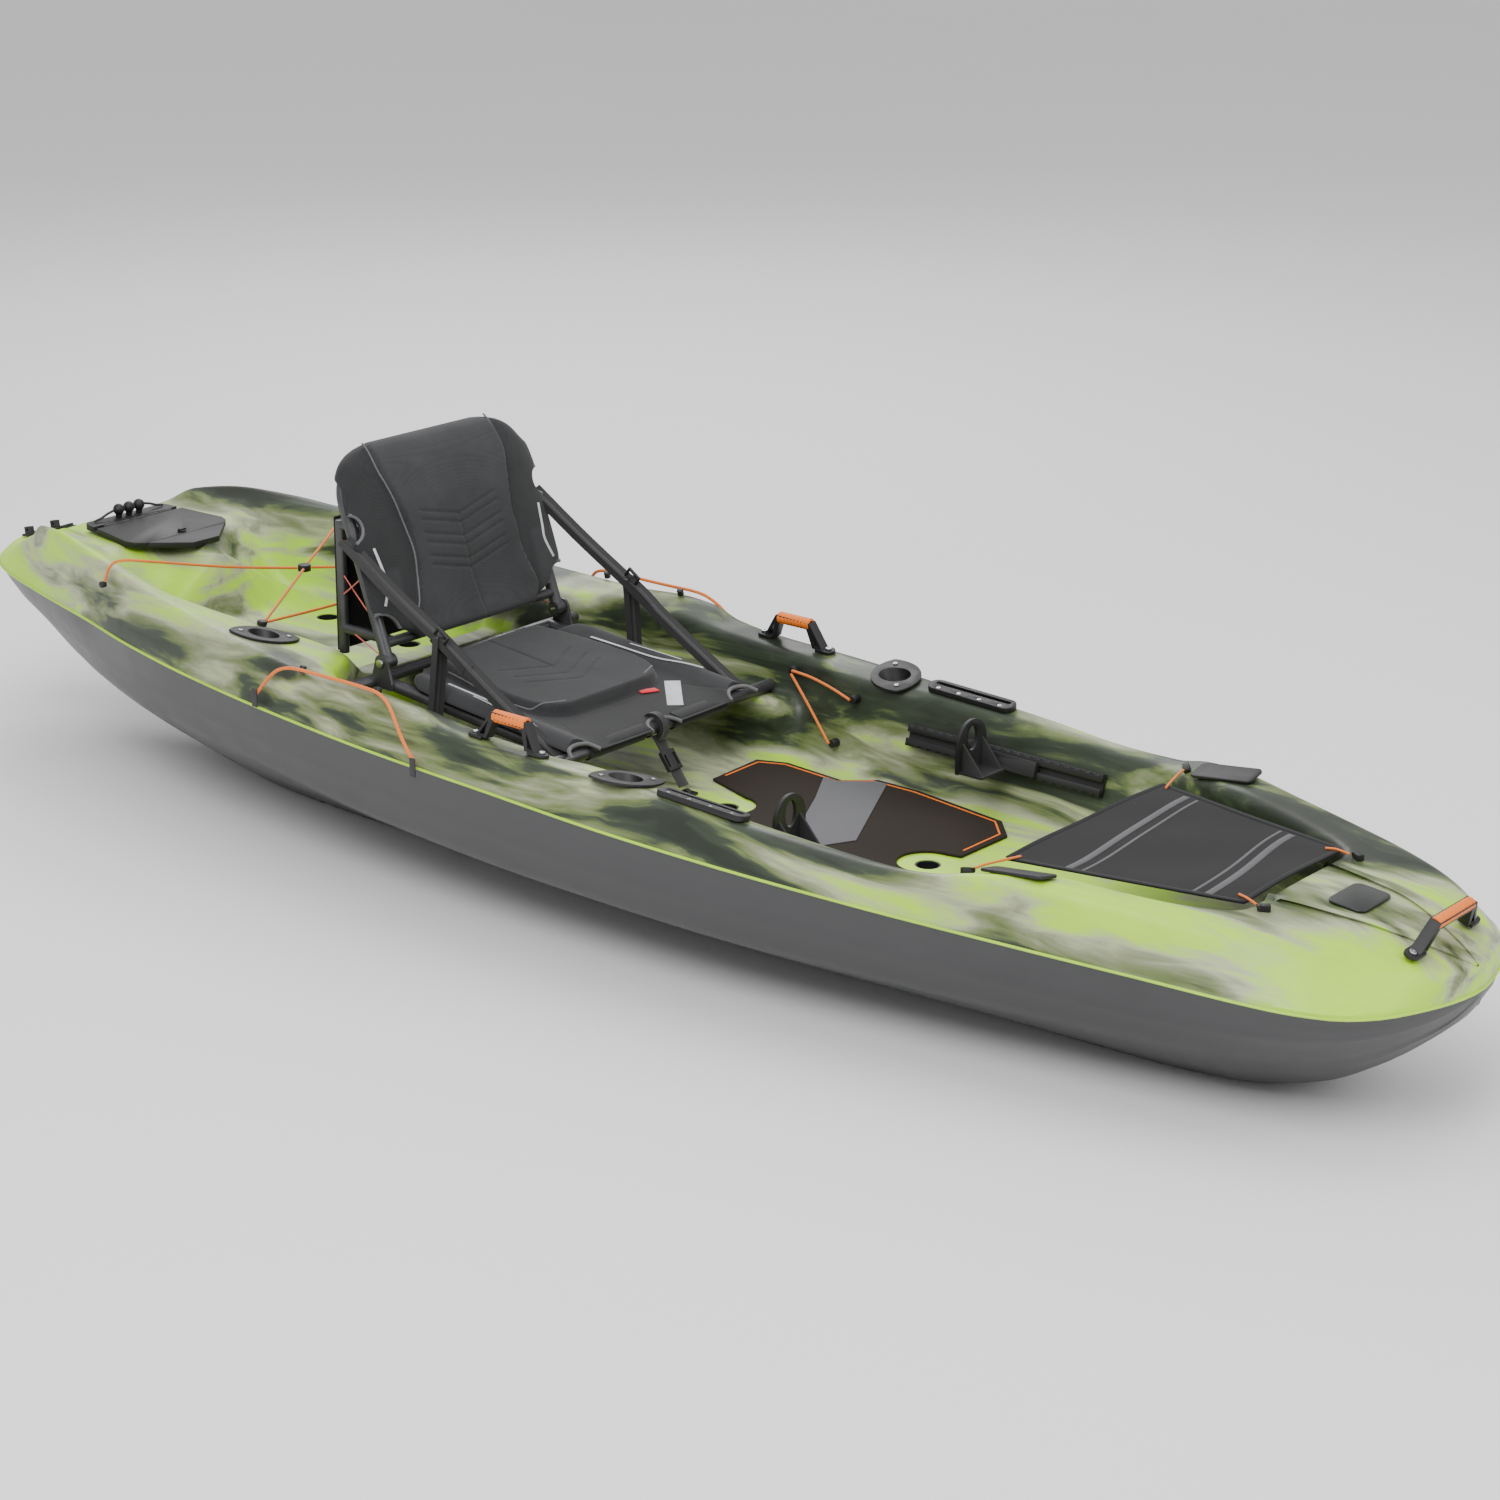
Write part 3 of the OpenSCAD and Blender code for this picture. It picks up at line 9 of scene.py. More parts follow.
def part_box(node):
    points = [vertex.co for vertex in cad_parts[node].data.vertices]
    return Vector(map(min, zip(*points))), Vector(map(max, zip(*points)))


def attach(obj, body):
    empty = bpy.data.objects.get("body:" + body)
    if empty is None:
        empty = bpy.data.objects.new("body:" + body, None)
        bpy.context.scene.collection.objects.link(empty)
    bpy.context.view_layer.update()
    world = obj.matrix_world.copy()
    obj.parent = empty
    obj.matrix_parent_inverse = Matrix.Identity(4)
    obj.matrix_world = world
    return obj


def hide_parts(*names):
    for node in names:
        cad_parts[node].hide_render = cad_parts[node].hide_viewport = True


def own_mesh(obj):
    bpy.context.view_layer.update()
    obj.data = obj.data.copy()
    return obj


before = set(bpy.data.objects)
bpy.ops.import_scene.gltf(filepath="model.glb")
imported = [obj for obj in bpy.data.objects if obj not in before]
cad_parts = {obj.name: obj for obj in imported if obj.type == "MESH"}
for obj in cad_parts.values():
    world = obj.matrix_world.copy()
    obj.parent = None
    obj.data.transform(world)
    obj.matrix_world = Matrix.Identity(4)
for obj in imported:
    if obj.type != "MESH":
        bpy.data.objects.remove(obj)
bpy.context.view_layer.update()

bl_info = {
    "name": "Fishing kayak",
    "version": (1, 0, 0),
    "blender": (4, 5, 0),
    "location": "View3D > Sidebar > Kayak",
    "description": "Builds the finished pieces and materials of a sit-on-top fishing kayak",
    "category": "Add Mesh",
}

MM = 0.001


class KayakColours(bpy.types.PropertyGroup):
    """Colours of the moulded shells, the cloth and the cords."""
    lime: FloatVectorProperty(name="Lime", description="Brightest swirl of the deck",
                              default=(0.44, 0.74, 0.030), size=3, subtype="COLOR", min=0, max=1)
    cream: FloatVectorProperty(name="Cream", description="Pale swirl of the deck",
                               default=(0.38, 0.42, 0.25), size=3, subtype="COLOR", min=0, max=1)
    olive: FloatVectorProperty(name="Olive", description="Middle swirl of the deck",
                               default=(0.13, 0.17, 0.055), size=3, subtype="COLOR", min=0, max=1)
    dark: FloatVectorProperty(name="Dark", description="Darkest swirl of the deck",
                              default=(0.016, 0.022, 0.013), size=3, subtype="COLOR", min=0, max=1)
    charcoal: FloatVectorProperty(name="Charcoal", description="Bottom shell",
                                  default=(0.044, 0.044, 0.047), size=3, subtype="COLOR", min=0, max=1)
    orange: FloatVectorProperty(name="Orange", description="Elastic cords and accents",
                                default=(0.86, 0.19, 0.015), size=3, subtype="COLOR", min=0, max=1)
    cloth: FloatVectorProperty(name="Seat cloth", description="Padded seat cloth",
                               default=(0.028, 0.0285, 0.030), size=3, subtype="COLOR", min=0, max=1)


class KayakSizes(bpy.types.PropertyGroup):
    """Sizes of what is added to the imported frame."""
    station_step: FloatProperty(name="Station step", description="Spacing of the shells' sections",
                                default=0.0125, unit="LENGTH", min=0.005, max=0.05)
    shell_wall: FloatProperty(name="Shell wall", description="Thickness of both shells",
                              default=0.005, unit="LENGTH", min=0.003, max=0.008)
    lip: FloatProperty(name="Seam lip", description="Thickness of the bead along the seam",
                       default=0.006, unit="LENGTH", min=0.002, max=0.012)
    cord: FloatProperty(name="Cord", description="Diameter of the paddle keepers",
                        default=0.006, unit="LENGTH", min=0.003, max=0.01)


# ---------------------------------------------------------------- lines plan, in millimetres

SEAM = [(-1587.5, 14, 310), (-1582, 50, 310), (-1562, 90, 311), (-1520, 130, 313),
        (-1450, 170, 315), (-1300, 222, 316), (-1100, 280, 316), (-900, 335, 311),
        (-700, 375, 305), (-450, 408, 298), (-200, 426, 290), (0, 432, 285), (250, 428, 273),
        (500, 412, 262), (750, 385, 253), (1000, 345, 243), (1200, 305, 233), (1400, 270, 226),
        (1480, 238, 223), (1530, 184, 220), (1565, 110, 219), (1582, 50, 218), (1587.5, 14, 218)]
CREST = [(-1587.5, 10, 330), (-1560, 58, 336), (-1500, 105, 350), (-1430, 140, 378),
         (-1360, 172, 408), (-1310, 198, 438), (-1200, 234, 452), (-1100, 266, 446),
         (-1000, 292, 434), (-880, 322, 421), (-740, 345, 406), (-600, 365, 393),
         (-450, 383, 381), (-330, 392, 377), (-220, 396, 382), (-150, 397, 377), (-90, 397, 357),
         (0, 395, 347), (150, 392, 343), (300, 386, 338), (450, 380, 330), (600, 372, 323),
         (750, 360, 315), (870, 346, 321), (930, 338, 333), (1000, 320, 338), (1130, 285, 330),
         (1250, 255, 320), (1350, 225, 311), (1430, 195, 299), (1500, 150, 281),
         (1545, 105, 268), (1575, 55, 257), (1587.5, 10, 250)]
INNER = [(-1587.5, 6, 330), (-1500, 80, 348), (-1430, 112, 374), (-1360, 142, 400),
         (-1310, 168, 424), (-1200, 207, 432), (-1080, 228, 426), (-960, 262, 420),
         (-860, 276, 408), (-740, 262, 392), (-620, 225, 372), (-520, 205, 358),
         (-460, 222, 354), (-410, 300, 356), (-340, 335, 358), (-250, 335, 357),
         (-150, 333, 350), (0, 336, 340), (120, 336, 334), (200, 318, 329), (300, 314, 326),
         (380, 330, 324), (560, 333, 318), (700, 327, 310), (830, 316, 304), (900, 292, 309),
         (960, 264, 320), (1040, 240, 326), (1130, 220, 320), (1230, 186, 313),
         (1290, 152, 311), (1430, 110, 301), (1500, 80, 285), (1560, 35, 264), (1587.5, 6, 251)]
FOOT = [(-1587.5, 4, 331), (-1500, 60, 347), (-1430, 90, 372), (-1360, 118, 394),
        (-1310, 138, 402), (-1180, 150, 404), (-1150, 165, 392), (-1070, 190, 276),
        (-1045, 200, 265), (-960, 240, 265), (-860, 246, 265), (-700, 225, 265),
        (-580, 185, 266), (-540, 175, 268), (-515, 170, 305), (-475, 170, 305),
        (-450, 180, 190), (-420, 205, 172), (-300, 232, 172), (0, 262, 172), (200, 284, 172),
        (400, 290, 172), (600, 284, 172), (800, 258, 172), (960, 224, 172), (1130, 178, 176),
        (1230, 140, 184), (1262, 126, 192), (1290, 110, 311), (1430, 84, 303), (1500, 60, 288),
        (1560, 25, 266), (1587.5, 4, 252)]
MIDDLE = [(-1587.5, 331), (-1500, 350), (-1430, 377), (-1360, 399), (-1310, 405),
          (-1060, 402), (-1035, 396), (-985, 276), (-960, 265), (-580, 265), (-540, 268),
          (-515, 305), (-475, 305), (-450, 190), (-420, 172), (1130, 172), (1230, 182),
          (1262, 192), (1290, 312), (1400, 306), (1500, 289), (1560, 267), (1587.5, 252)]
LEDGE = [(-1587.5, 0, 240, 262), (-430, 0, 240, 262), (-390, 1, 250, 262), (-200, 1, 255, 262),
         (0, 1, 262, 268), (90, 1, 270, 268), (125, 0, 275, 262), (1587.5, 0, 240, 254)]
KEEL = [(-1587.5, 286, 5, 9, 296), (-1560, 248, 12, 44, 272), (-1500, 208, 25, 78, 250),
        (-1420, 162, 40, 112, 224), (-1340, 114, 52, 146, 212), (-1250, 84, 62, 178, 196),
        (-1080, 48, 76, 238, 184), (-910, 22, 88, 288, 180), (-750, 4, 96, 322, 178),
        (-600, 0, 100, 340, 172), (-300, 0, 108, 357, 142), (0, 0, 112, 362, 124),
        (400, 0, 110, 350, 112), (800, 0, 100, 300, 106), (1100, 0, 90, 250, 104),
        (1250, 6, 80, 222, 106), (1380, 36, 64, 190, 118), (1470, 86, 50, 160, 140),
        (1530, 134, 36, 114, 164), (1568, 172, 20, 62, 188), (1582, 194, 10, 28, 202),
        (1587.5, 206, 5, 9, 211)]
STERN, BOW = -1587.5, 1587.5


def table(rows, x, k):
    """Smooth interpolation in a table, column k, with no overshoot."""
    def step(i):
        return (rows[i + 1][k] - rows[i][k]) / (rows[i + 1][0] - rows[i][0])

    def slope(i):
        if i <= 0:
            return step(0)
        if i >= len(rows) - 1:
            return step(len(rows) - 2)
        a, b = step(i - 1), step(i)
        return 0 if a * b <= 0 else 2 * a * b / (a + b)
    i = 0
    while i < len(rows) - 2 and x >= rows[i + 1][0]:
        i += 1
    h = rows[i + 1][0] - rows[i][0]
    u = max(0, min(1, (x - rows[i][0]) / h))
    return (rows[i][k] * (1 + 2 * u) * (1 - u) ** 2 + slope(i) * h * u * (1 - u) ** 2
            + rows[i + 1][k] * u * u * (3 - 2 * u) - slope(i + 1) * h * u * u * (1 - u))


def at(rows, x):
    return Vector((table(rows, x, 1), table(rows, x, 2)))


def corner(p, a, b, r, n):
    """A rounded corner at p between a and b: n + 1 points."""
    pa = p + (a - p).normalized() * min(r, (a - p).length * 0.45)
    pb = p + (b - p).normalized() * min(r, (b - p).length * 0.45)
    return [pa * (1 - t) ** 2 + p * 2 * t * (1 - t) + pb * t * t for t in (i / n for i in range(n + 1))]


def between(a, b, n):
    return [a.lerp(b, i / (n + 1)) for i in range(1, n + 1)]


def run_on(groups, gaps):
    """Joins groups of points, with a number of even points in each gap."""
    out = list(groups[0])
    for group, n in zip(groups[1:], gaps):
        out += between(out[-1], group[0], n) + list(group)
    return out


def half_deck(x):
    s, a, b, e = at(SEAM, x), at(CREST, x), at(INNER, x), at(FOOT, x)
    k = table(LEDGE, x, 1)
    m = Vector((0, table(MIDDLE, x, 1)))
    top = table(LEDGE, x, 3)
    c = b.lerp(e, 0.4).lerp(Vector((b[0] - 12, top)), k)
    d = b.lerp(e, 0.6).lerp(Vector((table(LEDGE, x, 2), top)), k)
    lip = s + Vector((0, 7 * min(1, (a[1] - s[1]) / 30)))
    return run_on([[s, lip], corner(a, lip, b, 20, 6), corner(b, a, c, 14, 5), corner(c, b, d, 12, 4),
                   corner(d, c, e, 12, 4), corner(e, d, m, 26, 6)], [8, 5, 4, 2, 4]) + between(e, m, 7)


def half_hull(x):
    s = at(SEAM, x) - Vector((0, 0.2))
    f = Vector((table(KEEL, x, 2), table(KEEL, x, 1)))
    c = Vector((table(KEEL, x, 3), table(KEEL, x, 4)))
    k = min(1, s[0] / 100)
    u = s.lerp(c, 0.5) + Vector((6, -6)) * k
    return run_on([[s], [s.lerp(u, 0.5) + Vector((1, -1)) * k], [u], corner(c, u, f, 24, 6),
                   [c.lerp(f, 0.5) + Vector((2, -3)) * k], corner(f, c, Vector((0, f[1])), 20, 5)],
                  [3, 3, 4, 4, 4]) + between(Vector((f[0] - 20 * min(1, f[0] / 44), f[1])),
                                             Vector((0, f[1])), 4)


def mirrored(half, middle):
    return half + [middle] + [Vector((-p[0], p[1])) for p in reversed(half)]


def deck_section(x):
    return mirrored(half_deck(x), Vector((0, table(MIDDLE, x, 1))))


def hull_section(x):
    return mirrored(half_hull(x), Vector((0, table(KEEL, x, 1))))


def inset(points, wall, way):
    out = []
    for i, p in enumerate(points):
        if i in (0, len(points) - 1):
            out.append(Vector((p[0] - math.copysign(wall, p[0]), p[1])))
            continue
        d = (points[i + 1] - points[i - 1]).normalized()
        out.append(p - way * Vector((d[1], -d[0])) * wall)
    return out


def stations(step):
    """Even stations, closer together at the end walls of the wells and at the rounded ends."""
    marks = [STERN, -1583, -1576, -1566, -1552, -1535, -1510]
    x = -1500
    while x < 1490:
        near_wall = any(a <= x <= b for a, b in ((-1160, -960), (-560, -400), (1225, 1300)))
        marks.append(x)
        x += step * (0.45 if near_wall else 1)
    return marks + [1500, 1515, 1530, 1543, 1555, 1565, 1573, 1579, 1584, BOW]


# ---------------------------------------------------------------- mesh helpers

def clear_selection():
    """Leaves nothing selected."""
    bpy.ops.object.select_all(action="DESELECT")


def pick(obj):
    """Selects one object and makes it the active one."""
    clear_selection()
    obj.select_set(True)
    bpy.context.view_layer.objects.active = obj
    return obj


def new_mesh(name, points, faces):
    """A new object from points in metres and faces."""
    mesh = bpy.data.meshes.new(name)
    mesh.from_pydata([tuple(p) for p in points], [], faces)
    mesh.validate()
    obj = bpy.data.objects.new(name, mesh)
    bpy.context.scene.collection.objects.link(obj)
    return pick(obj)


def place_in_mesh(obj):
    """Moves an object's place, turn and size into its mesh."""
    pick(obj)
    bpy.ops.object.transform_apply(location=True, rotation=True, scale=True)
    return obj


def apply_modifiers(obj):
    """Applies each modifier, from the first to the last."""
    pick(obj)
    for m in list(obj.modifiers):
        bpy.ops.object.modifier_apply(modifier=m.name)
    return obj


def smooth(obj, degrees=35):
    """Shades smooth, with edges sharper than the angle kept."""
    pick(obj)
    bpy.ops.object.shade_smooth_by_angle(angle=math.radians(degrees))
    return obj


def outward(obj):
    """Merges doubled points and turns the faces outward."""
    pick(obj)
    bpy.ops.object.mode_set(mode="EDIT")
    bpy.ops.mesh.select_all(action="SELECT")
    bpy.ops.mesh.remove_doubles(threshold=1e-6)
    bpy.ops.mesh.normals_make_consistent(inside=False)
    bpy.ops.object.mode_set(mode="OBJECT")
    return obj


def piece(obj, body, slot, material, *nodes):
    """Gives a finished piece its material and body, and hides the nodes it stands for; the slot is not used.
    """
    obj.data.materials.clear()
    for m in (material if isinstance(material, (list, tuple)) else [material]):
        obj.data.materials.append(m)
    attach(obj, body)
    if nodes:
        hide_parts(*nodes)
    return obj


def join(name, objs):
    """Joins objects into one with a name."""
    clear_selection()
    for o in objs:
        o.select_set(True)
    bpy.context.view_layer.objects.active = objs[0]
    if len(objs) > 1:
        bpy.ops.object.join()
    objs[0].name = objs[0].data.name = name
    return objs[0]


def rounded_copy(node, name, width, segments=2, limit=32):
    """A copy of a CAD node with its edges broken."""
    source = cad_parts[node]
    obj = source.copy()
    obj.data = source.data.copy()
    obj.parent = None
    obj.matrix_world = Matrix.Identity(4)
    obj.name = obj.data.name = name
    for key in list(obj.keys()):
        del obj[key]
    bpy.context.scene.collection.objects.link(obj)
    obj.hide_render = obj.hide_viewport = False
    obj.hide_set(False)
    pick(obj)
    bpy.ops.object.mode_set(mode="EDIT")
    bpy.ops.mesh.select_all(action="SELECT")
    bpy.ops.mesh.remove_doubles(threshold=2e-6)
    bpy.ops.mesh.dissolve_limited(angle_limit=math.radians(2))
    bpy.ops.object.mode_set(mode="OBJECT")
    if width:
        m = obj.modifiers.new("edges", "BEVEL")
        m.width, m.segments, m.limit_method = width, segments, "ANGLE"
        m.angle_limit = math.radians(limit)
        m.use_clamp_overlap = True
        m.harden_normals = False
    apply_modifiers(obj)
    return smooth(obj)


def spline(points, n):
    """A smooth line through the points, n steps to a stretch."""
    p = [Vector(q) for q in points]
    out = []
    for i in range(len(p) - 1):
        a, b = p[max(0, i - 1)], p[i]
        c, d = p[i + 1], p[min(len(p) - 1, i + 2)]
        for k in range(n):
            t = k / n
            out.append(0.5 * ((2 * b) + (c - a) * t + (2 * a - 5 * b + 4 * c - d) * t * t
                              + (3 * b - a - 3 * c + d) * t * t * t))
    return out + [p[-1]]


def sweep(name, line, outline, up=(0, 0, 1), closed_ends=True):
    """Sweeps an outline of (across, thick) points along a line, with UVs in metres."""
    line = [Vector(p) for p in line]
    n, m = len(line), len(outline)
    verts, run, length = [], [], 0.0
    side = None
    for i, p in enumerate(line):
        t = (line[min(n - 1, i + 1)] - line[max(0, i - 1)]).normalized()
        if side is None:
            side = Vector(up).cross(t)
            if side.length < 0.05:
                side = Vector((1, 0, 0)).cross(t)
        side = (side - t * side.dot(t)).normalized()
        thick = t.cross(side)
        if i:
            length += (p - line[i - 1]).length
        run.append(length)
        verts += [p + side * a + thick * b for a, b in outline]
    faces = [(i * m + k, i * m + (k + 1) % m, (i + 1) * m + (k + 1) % m, (i + 1) * m + k)
             for i in range(n - 1) for k in range(m)]
    if closed_ends:
        faces += [tuple(range(m - 1, -1, -1)), tuple((n - 1) * m + k for k in range(m))]
    obj = new_mesh(name, verts, faces)
    around = [0.0]
    for k in range(m):
        a, b = outline[k], outline[(k + 1) % m]
        around.append(around[-1] + math.dist(a, b))
    uv = obj.data.uv_layers.new(name="UVMap")
    for f in obj.data.polygons:
        last = f.index >= (n - 1) * m
        for li in f.loop_indices:
            v = obj.data.loops[li].vertex_index
            i, k = divmod(v, m)
            if not last and k == 0 and f.index % m == m - 1:
                k = m
            uv.data[li].uv = (around[k], run[i])
    return smooth(outward(obj), 50)


def round_outline(r, n=12):
    """A circle to sweep."""
    return [(r * math.cos(2 * math.pi * k / n), r * math.sin(2 * math.pi * k / n)) for k in range(n)]


def flat_outline(w, t):
    """A flat strip's outline to sweep, with broken corners."""
    a, b, c = w / 2, t / 2, t * 0.3
    return [(-a, -b + c), (-a + c, -b), (a - c, -b), (a, -b + c), (a, b - c), (a - c, b),
            (-a + c, b), (-a, b - c)]


def mm(points, side=1):
    """Points given in millimetres, on the port side (1) or the starboard side (-1)."""
    return [Vector((p[0] * MM, side * p[1] * MM, p[2] * MM)) for p in points]


def rail_z(x, y):
    """Height of the rail's top between its crest and its inner edge, in millimetres."""
    a, b = at(CREST, x), at(INNER, x)
    return b[1] + (a[1] - b[1]) * (abs(y) - b[0]) / (a[0] - b[0])


def on_rail(x, y, s, d=60, up=0.6):
    """The frame set on the rail's top at x, y, in metres."""
    a, b = at(CREST, x), at(INNER, x)
    tilt = math.atan2(a[1] - b[1], a[0] - b[0])
    pitch = -math.atan2(rail_z(x + d, y) - rail_z(x - d, y), 2 * d)
    return (Matrix.Translation((x * MM, s * y * MM, rail_z(x, y) * MM))
            @ Matrix.Rotation(pitch, 4, "Y") @ Matrix.Rotation(s * tilt, 4, "X")
            @ Matrix.Translation((0, 0, up * MM)))


# ---------------------------------------------------------------- materials

def node(tree, kind, inputs=None, **attrs):
    n = tree.nodes.new(kind)
    for k, v in attrs.items():
        setattr(n, k, v)
    for k, v in (inputs or {}).items():
        if isinstance(v, bpy.types.NodeSocket):
            tree.links.new(v, n.inputs[k])
        else:
            n.inputs[k].default_value = v
    return n


def begin(name, **shader):
    """A new material, with constants set on its shader."""
    mat = bpy.data.materials.new(name)
    mat.use_nodes = True
    tree = mat.node_tree
    bsdf = tree.nodes["Principled BSDF"]
    for k, v in shader.items():
        bsdf.inputs[k.replace("_", " ")].default_value = v
    coords = tree.nodes.new("ShaderNodeTexCoord")
    return mat, tree, bsdf, coords


def ramp(tree, fac, stops, mode="LINEAR"):
    r = tree.nodes.new("ShaderNodeValToRGB")
    r.color_ramp.interpolation = mode
    while len(r.color_ramp.elements) < len(stops):
        r.color_ramp.elements.new(0.5)
    for e, (pos, colour) in zip(r.color_ramp.elements, stops):
        e.position = pos
        e.color = (*colour, 1) if len(colour) == 3 else colour
    tree.links.new(fac, r.inputs["Fac"])
    return r.outputs["Color"]


def grey(v):
    return (v, v, v)


def bump(tree, bsdf, height, strength, distance):
    b = node(tree, "ShaderNodeBump", {"Height": height, "Strength": strength, "Distance": distance})
    tree.links.new(b.outputs["Normal"], bsdf.inputs["Normal"])
    return b


def maths(tree, op, a, b=0.0, c=0.0):
    n = tree.nodes.new("ShaderNodeMath")
    n.operation = op
    for i, v in enumerate((a, b, c)):
        if isinstance(v, bpy.types.NodeSocket):
            tree.links.new(v, n.inputs[i])
        else:
            n.inputs[i].default_value = v
    return n.outputs[0]


def scaled(tree, vector, scale, offset=(0, 0, 0)):
    mapping = node(tree, "ShaderNodeMapping", {"Vector": vector, "Scale": scale, "Location": offset})
    return mapping.outputs[0]


def moulded(name, colour, rough=0.5, grain=0.00012, scuff=0.12):
    """Moulded plastic: fine spark grain, with a drift of colour and gloss."""
    mat, tree, bsdf, tc = begin(name, Roughness=rough, Specular_IOR_Level=0.45)
    p = tc.outputs["Object"]
    fine = node(tree, "ShaderNodeTexNoise", {"Vector": p, "Scale": 900.0, "Detail": 2.0})
    broad = node(tree, "ShaderNodeTexNoise", {"Vector": p, "Scale": 9.0, "Detail": 4.0, "Roughness": 0.6})
    light = tuple(min(1, c * (1 + scuff) + 0.004) for c in colour)
    low = tuple(c * (1 - scuff) for c in colour)
    tree.links.new(ramp(tree, broad.outputs["Fac"], [(0.3, low), (0.7, light)]), bsdf.inputs["Base Color"])
    tree.links.new(ramp(tree, broad.outputs["Fac"], [(0.3, grey(rough - 0.06)), (0.7, grey(rough + 0.06))]),
                   bsdf.inputs["Roughness"])
    bump(tree, bsdf, fine.outputs["Fac"], 0.5, grain)
    return mat


def woven(name, colour, pitch=0.0014, depth=0.00025, sheen=0.25, light=1.35):
    """Woven cloth: crossing threads on the piece's own coordinates, with a soft sheen."""
    mat, tree, bsdf, tc = begin(name, Roughness=0.86, Sheen_Weight=sheen, Sheen_Roughness=0.5,
                                Specular_IOR_Level=0.2)
    p = tc.outputs["Object"]
    k = 2 * math.pi / pitch / 20
    one = node(tree, "ShaderNodeTexWave", {"Vector": scaled(tree, p, (1, 1, 0.6)), "Scale": k,
                                           "Distortion": 0.0}, bands_direction="DIAGONAL")
    two = node(tree, "ShaderNodeTexWave", {"Vector": scaled(tree, p, (1, -1, 0.6)), "Scale": k,
                                           "Distortion": 0.0}, bands_direction="DIAGONAL")
    weave = maths(tree, "MAXIMUM", one.outputs["Fac"], two.outputs["Fac"])
    drift = node(tree, "ShaderNodeTexNoise", {"Vector": p, "Scale": 14.0, "Detail": 5.0, "Roughness": 0.65})
    # Colour mixes a random drift in tone with the weave's relief: painted shade between the threads and a
    # painted highlight on their crowns.
    both = maths(tree, "MULTIPLY_ADD", weave, 0.35, maths(tree, "MULTIPLY", drift.outputs["Fac"], 0.65))
    tree.links.new(ramp(tree, both, [(0.25, tuple(c * 0.7 for c in colour)),
                                     (0.8, tuple(c * light for c in colour))]), bsdf.inputs["Base Color"])
    bump(tree, bsdf, weave, 0.6, depth)
    return mat


def braid(name, colour, fleck, across=0.0016, along=0.0026):
    """Braided sleeve: slanting strands on the cord's own UVs."""
    mat, tree, bsdf, tc = begin(name, Roughness=0.62, Sheen_Weight=0.15)
    uv = tc.outputs["UV"]
    xyz = node(tree, "ShaderNodeSeparateXYZ", {"Vector": uv})
    u = maths(tree, "DIVIDE", xyz.outputs["X"], across)
    v = maths(tree, "DIVIDE", xyz.outputs["Y"], along)
    a = maths(tree, "SINE", maths(tree, "MULTIPLY", maths(tree, "ADD", u, v), math.pi))
    b = maths(tree, "SINE", maths(tree, "MULTIPLY", maths(tree, "SUBTRACT", u, v), math.pi))
    strand = maths(tree, "MULTIPLY_ADD", maths(tree, "MULTIPLY", a, b), 0.5, 0.5)
    # Colour follows the strands' relief: the fleck colour lies between the strands, and the crests are
    # lightened as a painted highlight.
    stops = [(0.05, fleck), (0.35, colour), (1.0, tuple(min(1, c * 1.25) for c in colour))]
    tree.links.new(ramp(tree, strand, stops), bsdf.inputs["Base Color"])
    bump(tree, bsdf, strand, 0.7, 0.0004)
    return mat


def webbing(name, colour, rib=0.0015):
    """Flat woven webbing: fine ribs across, with rolled edges."""
    mat, tree, bsdf, tc = begin(name, Roughness=0.74, Sheen_Weight=0.2)
    xyz = node(tree, "ShaderNodeSeparateXYZ", {"Vector": tc.outputs["UV"]})
    ribs = maths(tree, "SINE", maths(tree, "MULTIPLY", xyz.outputs["Y"], 2 * math.pi / rib))
    rows = maths(tree, "SINE", maths(tree, "MULTIPLY", xyz.outputs["X"], 2 * math.pi / 0.0021))
    both = maths(tree, "MULTIPLY_ADD", maths(tree, "ADD", ribs, rows), 0.25, 0.5)
    # Colour follows the relief of ribs and rows: painted shade in the grooves and a painted highlight on the
    # crowns.
    stops = [(0.1, tuple(c * 0.6 for c in colour)), (0.9, tuple(c * 1.5 + 0.004 for c in colour))]
    tree.links.new(ramp(tree, both, stops), bsdf.inputs["Base Color"])
    bump(tree, bsdf, both, 0.6, 0.0003)
    return mat


def metal(name, colour, rough=0.35, coat=0.0, metallic=1.0):
    """Metal with fine turning lines and handling marks."""
    mat, tree, bsdf, tc = begin(name, Metallic=metallic, Roughness=rough, Coat_Weight=coat)
    p = tc.outputs["Object"]
    lines = node(tree, "ShaderNodeTexNoise",
                 {"Vector": scaled(tree, p, (60, 900, 900)), "Scale": 1.0, "Detail": 3.0})
    marks = node(tree, "ShaderNodeTexNoise", {"Vector": p, "Scale": 40.0, "Detail": 4.0})
    stops = [(0.3, tuple(c * 0.85 for c in colour)), (0.7, tuple(min(1, c * 1.12) for c in colour))]
    tree.links.new(ramp(tree, marks.outputs["Fac"], stops), bsdf.inputs["Base Color"])
    tree.links.new(ramp(tree, marks.outputs["Fac"], [(0.3, grey(rough - 0.07)), (0.75, grey(rough + 0.12))]),
                   bsdf.inputs["Roughness"])
    bump(tree, bsdf, lines.outputs["Fac"], 0.25, 0.00006)
    return mat


